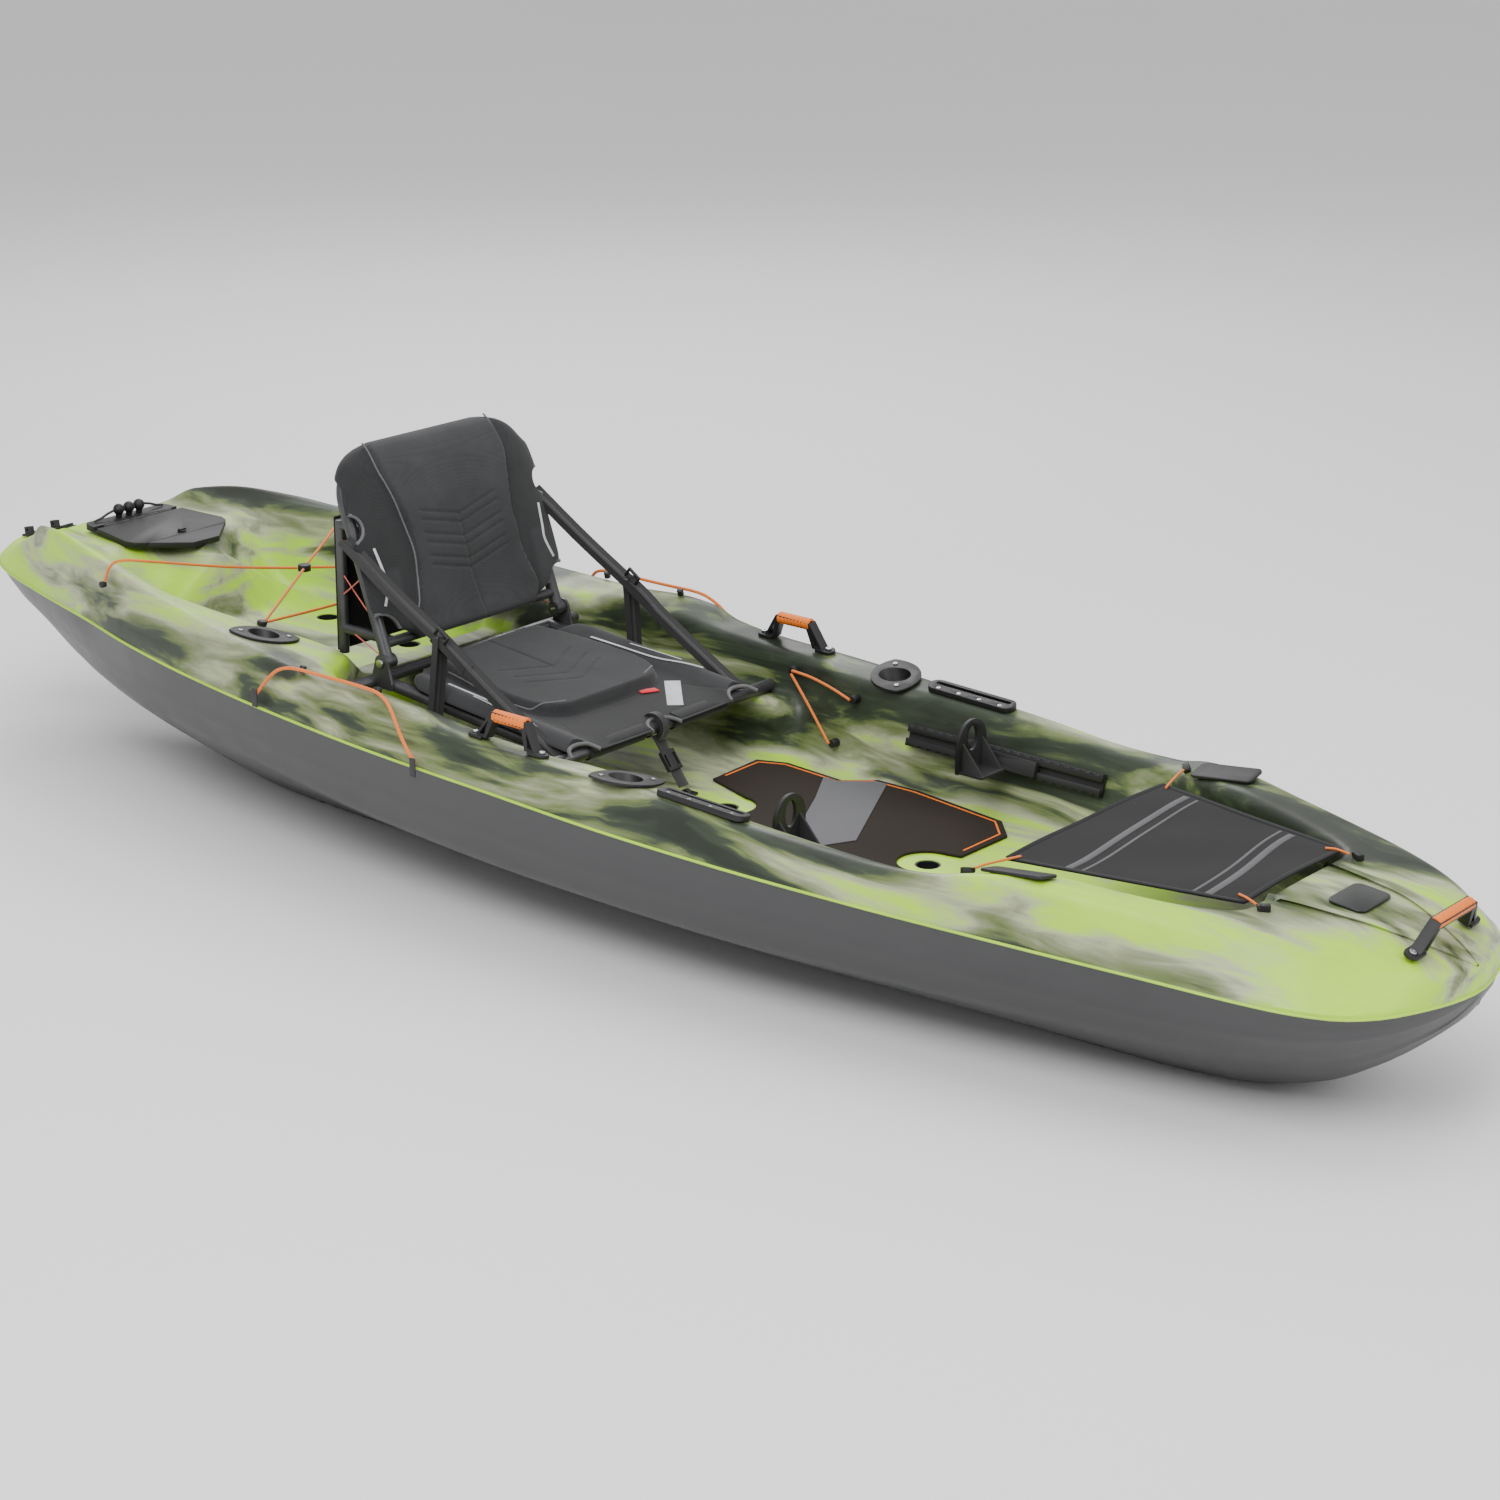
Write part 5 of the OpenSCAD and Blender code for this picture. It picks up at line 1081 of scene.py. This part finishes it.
def base_top(x, y):
    """Height of the base's upper face over its tubes, in millimetres."""
    pad = base_pad_mask(x, y)
    a = abs(y)
    sling = 19 - 5 * math.cos(min(1, a / 190) * math.pi / 2) * (1 - pad)
    bolster = 12 * math.exp(-((a - 206) / 26) ** 2) * soft(-x, 340, 60)
    h = sling + 17 * pad + bolster
    h -= 2.6 * ditch(abs(pad - 0.5) * 14, 2.2) * soft(x, 20, 30)
    if pad > 0.6:
        h -= 2.2 * ditch(segment_distance(x, a, -352, 0, -186, 0), 1.7)
        for apex in (-186, -150, -120):
            h -= 2.2 * ditch(segment_distance(x, a, apex, 0, apex - 44, 92), 1.8)
    h -= 1.2 * ditch(segment_distance(x, a, -30, 150, 60, 190), 1.6)
    nose = max(0, (x - 30) / 46)
    return h * (1 - 0.25 * nose ** 2)


BACK_WIDTH = [(22, 142), (34, 156), (46, 182), (60, 214), (78, 232), (100, 237), (180, 236),
              (250, 236), (290, 232), (318, 222), (340, 206), (354, 186), (364, 160), (370, 128)]
BACK_SEAM = [(22, 118), (60, 146), (90, 138), (140, 128), (200, 128), (260, 138), (310, 150), (370, 150)]


def back_mask(t, y):
    """1 on the middle panel of the back."""
    return soft(abs(y), steps(BACK_SEAM, t), 12)


def back_front(t, y):
    """How far the back's front face stands forward of its tubes, in millimetres."""
    a = abs(y)
    middle = back_mask(t, y)
    n = steps([(22, 52), (60, 46), (110, 45), (170, 49), (250, 51), (300, 47), (335, 38), (360, 26),
               (370, 17)], t)
    wing = steps([(22, 24), (80, 32), (160, 36), (260, 36), (320, 30), (352, 22), (370, 15)], t)
    hollow = 7 * (1 - min(1, a / 130) ** 2) * soft(abs(t - 170), 130, 120)
    side = 1 - max(0, (a - 160) / 80) ** 2 * 0.35
    h = (wing + (n - wing) * middle) * side - hollow * middle
    h -= 2.4 * ditch((a - steps(BACK_SEAM, t)) / 1.0, 2.4)
    if a < 104:
        for t0 in (212, 196, 172, 156, 132, 116):
            h -= 2.4 * ditch(t - t0 - 0.24 * a, 2.0) * soft(a, 96, 10)
        h -= 2.0 * ditch(a, 1.7) * soft(t, 214, 6)
    return h


def back_rear(t, y):
    """The back's rear face, which runs behind the tubes under the hood."""
    hood = soft(-t, -312, 26)
    return 12.6 - 27 * hood * soft(abs(y), 240, 30)


def pad(name, marks, width, top, bottom, place, across=84):
    """A closed padded form: rows of points over its top and back under it, with rounded edges."""
    rows = []
    first, last = marks[0], marks[-1]
    for x in marks:
        end = max(0.0, 1 - abs(2 * (x - first) / (last - first) - 1) ** 34) ** 0.5
        w = width(x)
        row = []
        for j in range(across + 1):
            v = math.sin((j / across - 0.5) * math.pi) * 0.55 + (2 * j / across - 1) * 0.45
            edge = max(0.0, 1 - abs(v) ** 22) ** 0.5 * end
            mid = (top(x, v * w) * 0.45 + bottom(x, v * w) * 0.55)
            row.append((x, v * w, mid + (top(x, v * w) - mid) * edge))
        for j in range(across - 1, 0, -2):
            v = math.sin((j / across - 0.5) * math.pi) * 0.55 + (2 * j / across - 1) * 0.45
            edge = max(0.0, 1 - abs(v) ** 22) ** 0.5 * end
            mid = (top(x, v * w) * 0.45 + bottom(x, v * w) * 0.55)
            row.append((x, v * w, mid + (bottom(x, v * w) - mid) * edge))
        rows.append(row)
    n = len(rows[0])
    verts = [place(*p) for row in rows for p in row]
    faces = [(i * n + k, i * n + (k + 1) % n, (i + 1) * n + (k + 1) % n, (i + 1) * n + k)
             for i in range(len(rows) - 1) for k in range(n)]
    faces += [tuple(range(n)), tuple((len(rows) - 1) * n + k for k in range(n))]
    return outward(new_mesh(name, verts, faces))


def shade_points(obj, value):
    """Stores how light each point of the cloth is, for the cloth's material."""
    a = obj.data.attributes.new("shade", "FLOAT", "POINT")
    for i, v in enumerate(obj.data.vertices):
        a.data[i].value = value(v.co)
    return obj


def shaded_cloth(name, colour):
    """Seat cloth: a weave whose lightness follows the panels."""
    mat = woven(name, colour, 0.0013, 0.0002, 0.12)
    tree = mat.node_tree
    bsdf = tree.nodes["Principled BSDF"]
    source = bsdf.inputs["Base Color"].links[0].from_socket
    shade = node(tree, "ShaderNodeAttribute", attribute_name="shade").outputs["Fac"]
    mix = node(tree, "ShaderNodeVectorMath", {0: source, 1: shade}, operation="MULTIPLY")
    tree.links.new(mix.outputs[0], bsdf.inputs["Base Color"])
    return mat


def surface_line(points, height, place, lift, n=10):
    """A line laid on a padded surface through (along, across) points."""
    flat = spline([(a, b, 0) for a, b in points], n)
    return [place(p[0], p[1], height(p[0], p[1]) + lift) for p in flat]


def strip_on(name, points, height, place, width, lift=0.5, thick=0.9, up=(0, 0, 1), n=10):
    line = surface_line(points, height, place, lift, n)
    return sweep(name, line, flat_outline(width, thick * MM), up)


class KAYAK_OT_seat_base(bpy.types.Operator):
    """Makes the padded seat base with its seams, trims, patch and label"""
    bl_idname = "kayak.seat_base"
    bl_label = "Seat base"

    def execute(self, context):
        c = context.scene.kayak_colours
        cloth = shaded_cloth("seat_cloth", tuple(c.cloth))
        fine = 3.2
        marks = [-352, -350, -347] + [-343 + i * fine for i in range(int(410 / fine))] + [70, 73, 75, 76]
        obj = pad("seat_base_pad", marks, lambda x: steps(BASE_WIDTH, x), base_top,
                  lambda x, y: 12.6, base_point, 150)
        holes = []
        for y, x, r in ((0, 78, 37), (205, 84, 36), (-205, 84, 36)):
            holes.append(post(x, y, r, 180, 420))
        cut(obj, holes)

        def value(p):
            x, y = p.x / MM, p.y / MM
            mask = base_pad_mask(x, y)
            return 0.78 + 0.34 * mask + 0.36 * soft(-abs(y), -178, 12) * (1 - mask)
        shade_points(obj, value)
        smooth(obj, 50)
        piece(obj, "hull", "seat_fabric", cloth, "seat_cushion")

        grey_pipe = woven("grey_piping", (0.11, 0.11, 0.115), 0.001, 0.0001)
        pipes = []
        for y, x, r, a0, a1 in ((0, 78, 37, 95, 265), (205, 84, 36, 105, 255), (-205, 84, 36, 105, 255)):
            arc = [(x + r * math.cos(math.radians(a)), y + r * math.sin(math.radians(a)))
                   for a in range(a0, a1 + 1, 10)]
            line = [base_point(px, py, min(base_top(px, py), 22) - 2) for px, py in arc]
            pipes.append(sweep("pipe", line, round_outline(0.0034, 8)))
        for s in (1, -1):
            seam = [(x, s * w) for x, w in BASE_SEAM[1:5]] + [(-68, s * 100)]
            line = surface_line(seam, base_top, base_point, -0.6, 8)
            pipes.append(sweep("pipe", line, round_outline(0.0016, 8)))
        piece(join("seat_base_piping", pipes), "hull", "seat_fabric", grey_pipe)

        silver = woven("silver_trim", (0.52, 0.53, 0.55), 0.001, 0.0001, 0.1)
        trims = []
        for s in (1, -1):
            long_trim = [(-262, s * 182), (-190, s * 186), (-120, s * 190), (-76, s * 200), (-30, s * 216)]
            trims.append(strip_on("trim", long_trim, base_top, base_point, 0.006))
            trims.append(strip_on("trim", [(-186, s * 200), (-120, s * 208), (-80, s * 216)],
                                  base_top, base_point, 0.003))
        trims.append(strip_on("trim", [(-42, 148), (-8, 112), (30, 72)], base_top, base_point, 0.028, n=8))
        piece(join("seat_base_trims", trims), "hull", "seat_fabric", silver)

        # A flat tag sewn on in front of the raised pad.
        h = max(base_top(-46, 66), base_top(-34, 98)) + 1.4
        label = sweep("seat_label", [base_point(-46 + 12 * i / 6, 66 + 32 * i / 6, h) for i in range(7)],
                      flat_outline(0.018, 0.0022))
        red = woven("red_label", (0.62, 0.012, 0.022), 0.0008, 0.0001)
        piece(label, "hull", "red_fabric", red, "seat_tag")

        sleeves = []
        tube = Vector((0.048, 0, 0.280))
        for y0, y1 in ((38, 176), (-176, -38)):
            ring = round_outline(0.0145, 15)
            line = [tube + Vector((0, (y0 + (y1 - y0) * i / 30) * MM, 0)) for i in range(31)]
            sleeves.append(sweep("sleeve", line, ring))
            strip = [base_point(58, y0 + (y1 - y0) * i / 24, 12) for i in range(25)]
            sleeves.append(sweep("sleeve", strip, flat_outline(0.026, 0.006), up=(0.2, 0, 1)))
        front = join("seat_front_sleeve", sleeves)
        shade_points(front, lambda p: 0.78)
        piece(front, "hull", "seat_fabric", cloth)
        return {"FINISHED"}


class KAYAK_OT_seat_back(bpy.types.Operator):
    """Makes the padded seat back, its hood over the tubes, its trims and its rear panel"""
    bl_idname = "kayak.seat_back"
    bl_label = "Seat back"

    def execute(self, context):
        cloth = bpy.data.materials["seat_cloth"]
        fine = 2.6
        marks = [22, 23, 25] + [28 + i * fine for i in range(int(334 / fine))] + [364, 367, 369, 370]
        obj = pad("seat_back_pad", marks, lambda t: steps(BACK_WIDTH, t), back_front, back_rear,
                     back_point, 150)
        to_back = (Matrix.Translation(HINGE) @ Matrix.Rotation(-LEAN, 4, "Y")
                   @ Matrix.Rotation(math.pi / 2, 4, "Y"))
        # The cutters' own axes: x down the back, y across, z forward.
        holes = [post(-t, y, r, -60, 90, to_back) for y, t, r in
                 ((236, 232, 26), (-236, 232, 26), (226, 42, 40), (-226, 42, 40))]
        cut(obj, holes)

        def local(p):
            q = p - HINGE
            return ((q.z * math.cos(LEAN) - q.x * math.sin(LEAN)) / MM, q.y / MM,
                    (q.x * math.cos(LEAN) + q.z * math.sin(LEAN)) / MM)

        def value(p):
            t, y, n = local(p)
            if n < 12:
                return 0.7
            mask = back_mask(t, y)
            low = soft(t, 150, 12) * soft(-abs(y), -166, 14)
            return 0.80 + 0.26 * mask + 0.2 * mask * soft(-t, -236, 60) + 0.34 * low * (1 - mask)
        shade_points(obj, value)
        smooth(obj, 50)
        piece(obj, "seat_back", "seat_fabric", cloth, "back_cushion")

        pipes = []
        for s in (1, -1):
            line = surface_line([(t, s * w) for t, w in BACK_SEAM], back_front, back_point, -0.4, 8)
            pipes.append(sweep("pipe", line, round_outline(0.0017, 8), up=(1, 0, 0)))
            for t, r, a0, a1 in ((232, 26, 90, 270), (42, 40, 70, 200)):
                middle = 236 if r == 26 else 226
                arc = [(t + r * math.cos(math.radians(a)), s * middle - s * r * math.sin(math.radians(a)))
                       for a in range(a0 - 90, a1 - 89, 10)]
                arc = [(a, b) for a, b in arc if abs(b) < steps(BACK_WIDTH, max(22, a)) and a > 23]
                if len(arc) > 2:
                    line = [back_point(a, b, back_front(a, b) * 0.7 + 3) for a, b in arc]
                    pipes.append(sweep("pipe", line, round_outline(0.0034, 8), up=(1, 0, 0)))
        grey_pipe = bpy.data.materials["grey_piping"]
        piece(join("seat_back_piping", pipes), "seat_back", "seat_fabric", grey_pipe)

        trims = []
        for s in (1, -1):
            trims.append(strip_on("trim", [(192, s * 206), (150, s * 200), (126, s * 198), (92, s * 212)],
                                  back_front, back_point, 0.0055, up=(1, 0, 0)))
        piece(join("seat_back_trims", trims), "seat_back", "seat_fabric", bpy.data.materials["silver_trim"])

        panel = rounded_copy("rear_panel", "seat_rear_panel", 0.0012)
        black = woven("panel_cloth", (0.012, 0.012, 0.013), 0.0011, 0.00012, 0.1)
        piece(panel, "seat_back", "cover_fabric", black, "rear_panel")
        laces = []
        for s in (1, -1):
            for z0, z1 in ((0.555, 0.548), (0.500, 0.440), (0.440, 0.500), (0.400, 0.372)):
                a = Vector((-0.5175, s * 0.186, z0))
                b = back_point((z1 - 0.362) / math.cos(LEAN) / MM, s * 214, -12.5)
                mid = a.lerp(b, 0.5) + Vector((0, 0, -0.001))
                laces.append(sweep("lace", spline([a, mid, b], 6), round_outline(0.0012, 6)))
        piece(join("panel_laces", laces), "seat_back", "orange_cord",
              braid("red_lace", (0.75, 0.16, 0.10), (0.3, 0.05, 0.04), 0.001, 0.0016))
        return {"FINISHED"}


STRAP_Y = 234.6
STRAP_TOP = Vector((-370 - 205 * math.tan(LEAN), STRAP_Y, 567))
STRAP_WAY = (Vector((48, 0, 280)) - Vector((STRAP_TOP[0], 0, 567))).normalized()
STRAP_LOW = Vector((48, STRAP_Y, 280)) - STRAP_WAY * 11.9
STRAP_MID = STRAP_TOP.lerp(STRAP_LOW, 0.47)


class KAYAK_OT_straps(bpy.types.Operator):
    """Makes the webbing straps of the seat with their slides and the front strap with its buckle"""
    bl_idname = "kayak.straps"
    bl_label = "Straps"

    def execute(self, context):
        web = webbing("black_webbing", (0.012, 0.012, 0.013))
        plastic = bpy.data.materials["black_moulding"]
        bands, slides = [], []
        for s in (1, -1):
            top, mid, low = (Vector((p[0], s * (p[1] + 1.5), p[2])) * MM
                             for p in (STRAP_TOP, STRAP_MID, STRAP_LOW))
            sag = Vector((0, s * 0.001, -0.004))
            for a, b in ((top, mid), (mid, low)):
                line = spline([a, a.lerp(b, 0.5) + sag, b], 8)
                bands.append(sweep("band", line, flat_outline(0.0018, 0.025), up=(0, 1, 0)))
            # The doubled tail folded back from the slide.
            tail = [mid + Vector((0, s * 0.003, 0)), mid.lerp(low, 0.12) + Vector((0, s * 0.0035, 0)),
                    mid.lerp(low, 0.24) + Vector((0, s * 0.0028, -0.003))]
            bands.append(sweep("band", spline(tail, 6), flat_outline(0.0018, 0.0235), up=(0, 1, 0)))
            foot = Vector((-0.221, s * 0.260, 0.266))
            head = mid + Vector((0, s * 0.004, 0.006))
            drop = spline([head, head.lerp(foot, 0.5) + Vector((0.001, 0, 0)), foot], 8)
            bands.append(sweep("band", drop, flat_outline(0.0018, 0.025), up=(0, 1, 0)))
            m = (Matrix.Translation(mid + Vector((0, s * 0.0065, 0.002)))
                 @ Matrix.Rotation(math.radians(34), 4, "Y"))
            slides.append(ladder_lock(m))
        straps = join("seat_straps", bands)
        piece(straps, "hull", "black_webbing", web, "side_straps")
        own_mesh(straps)
        locks = join("strap_slides", slides)
        piece(locks, "hull", "black_plastic", plastic, "strap_buckles")
        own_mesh(locks)

        a, b = Vector((0.052, 0, 0.2666)), Vector((0.112, 0, 0.188))
        line = [a + (b - a) * i / 20 for i in range(21)]
        band = sweep("front_band", line[:8], flat_outline(0.025, 0.002), up=(1, 0, 1))
        band2 = sweep("front_band2", line[12:], flat_outline(0.025, 0.002), up=(1, 0, 1))
        tube = Vector((0.048, 0, 0.280))
        loop = [tube + Vector((0.0128 * math.cos(math.radians(q)), 0, 0.0128 * math.sin(math.radians(q))))
                for q in range(-70, 255, 15)]
        wrap = sweep("front_wrap", loop, flat_outline(0.002, 0.025), up=(1, 0, 0))
        piece(join("front_webbing", [band, band2, wrap]), "hull", "black_webbing", web, "front_strap")
        buckle = rounded_copy("front_buckle", "front_release", 0.0014)
        piece(buckle, "hull", "black_plastic", plastic, "front_buckle")
        return {"FINISHED"}


def ladder_lock(m):
    """A slide of two bars for the webbing, in the plane of the strap."""
    parts = []
    for x, z, lx, lz in ((0, 15, 30, 5), (0, 0, 30, 4), (0, -15, 30, 5), (-13, 0, 4, 32), (13, 0, 4, 32)):
        clear_selection()
        bpy.ops.mesh.primitive_cube_add(size=1, location=(x * MM, 0, z * MM))
        o = bpy.context.object
        o.scale = (lx * MM, (5 if lx > 5 else 6) * MM, lz * MM)
        place_in_mesh(o)
        b = o.modifiers.new("edges", "BEVEL")
        b.width, b.segments = 0.0014, 3
        apply_modifiers(o)
        o.data.transform(m)
        parts.append(o)
    return smooth(join("slide", parts), 40)


class KAYAK_OT_stage(bpy.types.Operator):
    """Sets the floor, the soft lights and the camera"""
    bl_idname = "kayak.stage"
    bl_label = "Stage"

    def execute(self, context):
        clear_selection()
        bpy.ops.mesh.primitive_plane_add(size=60, location=(0, 0, -0.0005))
        floor = bpy.context.object
        floor.name = "floor"
        mat, tree, bsdf, tc = begin("pale_floor", Roughness=0.9, Specular_IOR_Level=0.1)
        wash = node(tree, "ShaderNodeTexNoise", {"Vector": tc.outputs["Object"], "Scale": 0.4})
        tree.links.new(ramp(tree, wash.outputs["Fac"], [(0.3, grey(0.86)), (0.7, grey(0.88))]),
                       bsdf.inputs["Base Color"])
        floor.data.materials.append(mat)

        world = bpy.data.worlds.new("soft_sky")
        context.scene.world = world
        world.use_nodes = True
        sky = world.node_tree.nodes["Background"]
        sky.inputs["Color"].default_value = (1, 1, 1, 1)
        sky.inputs["Strength"].default_value = 0.75
        for name, place, size, watts in (("key_light", (1.6, -3.6, 4.4), 3.0, 210),
                                         ("fill_light", (4.8, 1.2, 3.2), 3.0, 80),
                                         ("rear_light", (-3.4, 3.4, 4.0), 3.0, 130),
                                         ("top_light", (0.0, 0.0, 5.2), 4.0, 90)):
            bpy.ops.object.light_add(type="AREA", location=place)
            lamp = bpy.context.object
            lamp.name = name
            lamp.data.size = size
            lamp.data.energy = watts
            aim = Vector((0.1, 0, 0.25)) - Vector(place)
            lamp.rotation_euler = aim.to_track_quat("-Z", "Y").to_euler()

        az, el, roll = (math.radians(v) for v in (38.96, 18.83, 0.49))
        back = Vector((math.sin(az) * math.cos(el), -math.cos(az) * math.cos(el), math.sin(el)))
        right = Vector((math.cos(az), math.sin(az), 0))
        up = back.cross(right)
        u_axis = right * math.cos(roll) + up * math.sin(roll)
        v_axis = -right * math.sin(roll) + up * math.cos(roll)
        target = Vector((0.1984, 0.0696, 0.2535))
        bpy.ops.object.camera_add()
        camera = bpy.context.object
        camera.name = "view_camera"
        place = Matrix((u_axis, v_axis, back)).transposed().to_4x4()
        place.translation = target + back * 5.499
        camera.matrix_world = place
        camera.data.sensor_width = 36
        camera.data.lens = 78.43
        context.scene.camera = camera
        return {"FINISHED"}


class KAYAK_PT_panel(bpy.types.Panel):
    """Lists the kayak's operators and settings"""
    bl_idname = "KAYAK_PT_panel"
    bl_label = "Fishing kayak"
    bl_space_type = "VIEW_3D"
    bl_region_type = "UI"
    bl_category = "Kayak"

    def draw(self, context):
        for cls in OPERATORS:
            self.layout.operator(cls.bl_idname)
        for group in (context.scene.kayak_sizes, context.scene.kayak_colours):
            for key in group.__annotations__:
                self.layout.prop(group, key)


OPERATORS = (KAYAK_OT_stage, KAYAK_OT_shells, KAYAK_OT_handles, KAYAK_OT_fittings, KAYAK_OT_floor,
             KAYAK_OT_cover, KAYAK_OT_cords, KAYAK_OT_seat_base, KAYAK_OT_seat_back, KAYAK_OT_straps)
CLASSES = (KayakColours, KayakSizes, *OPERATORS, KAYAK_PT_panel)


def register():
    for cls in CLASSES:
        bpy.utils.register_class(cls)
    bpy.types.Scene.kayak_colours = PointerProperty(type=KayakColours)
    bpy.types.Scene.kayak_sizes = PointerProperty(type=KayakSizes)


def unregister():
    del bpy.types.Scene.kayak_sizes
    del bpy.types.Scene.kayak_colours
    for cls in reversed(CLASSES):
        bpy.utils.unregister_class(cls)


def main():
    register()
    for cls in OPERATORS:
        group, name = cls.bl_idname.split(".")
        getattr(getattr(bpy.ops, group), name)()


if __name__ == "__main__":
    main()
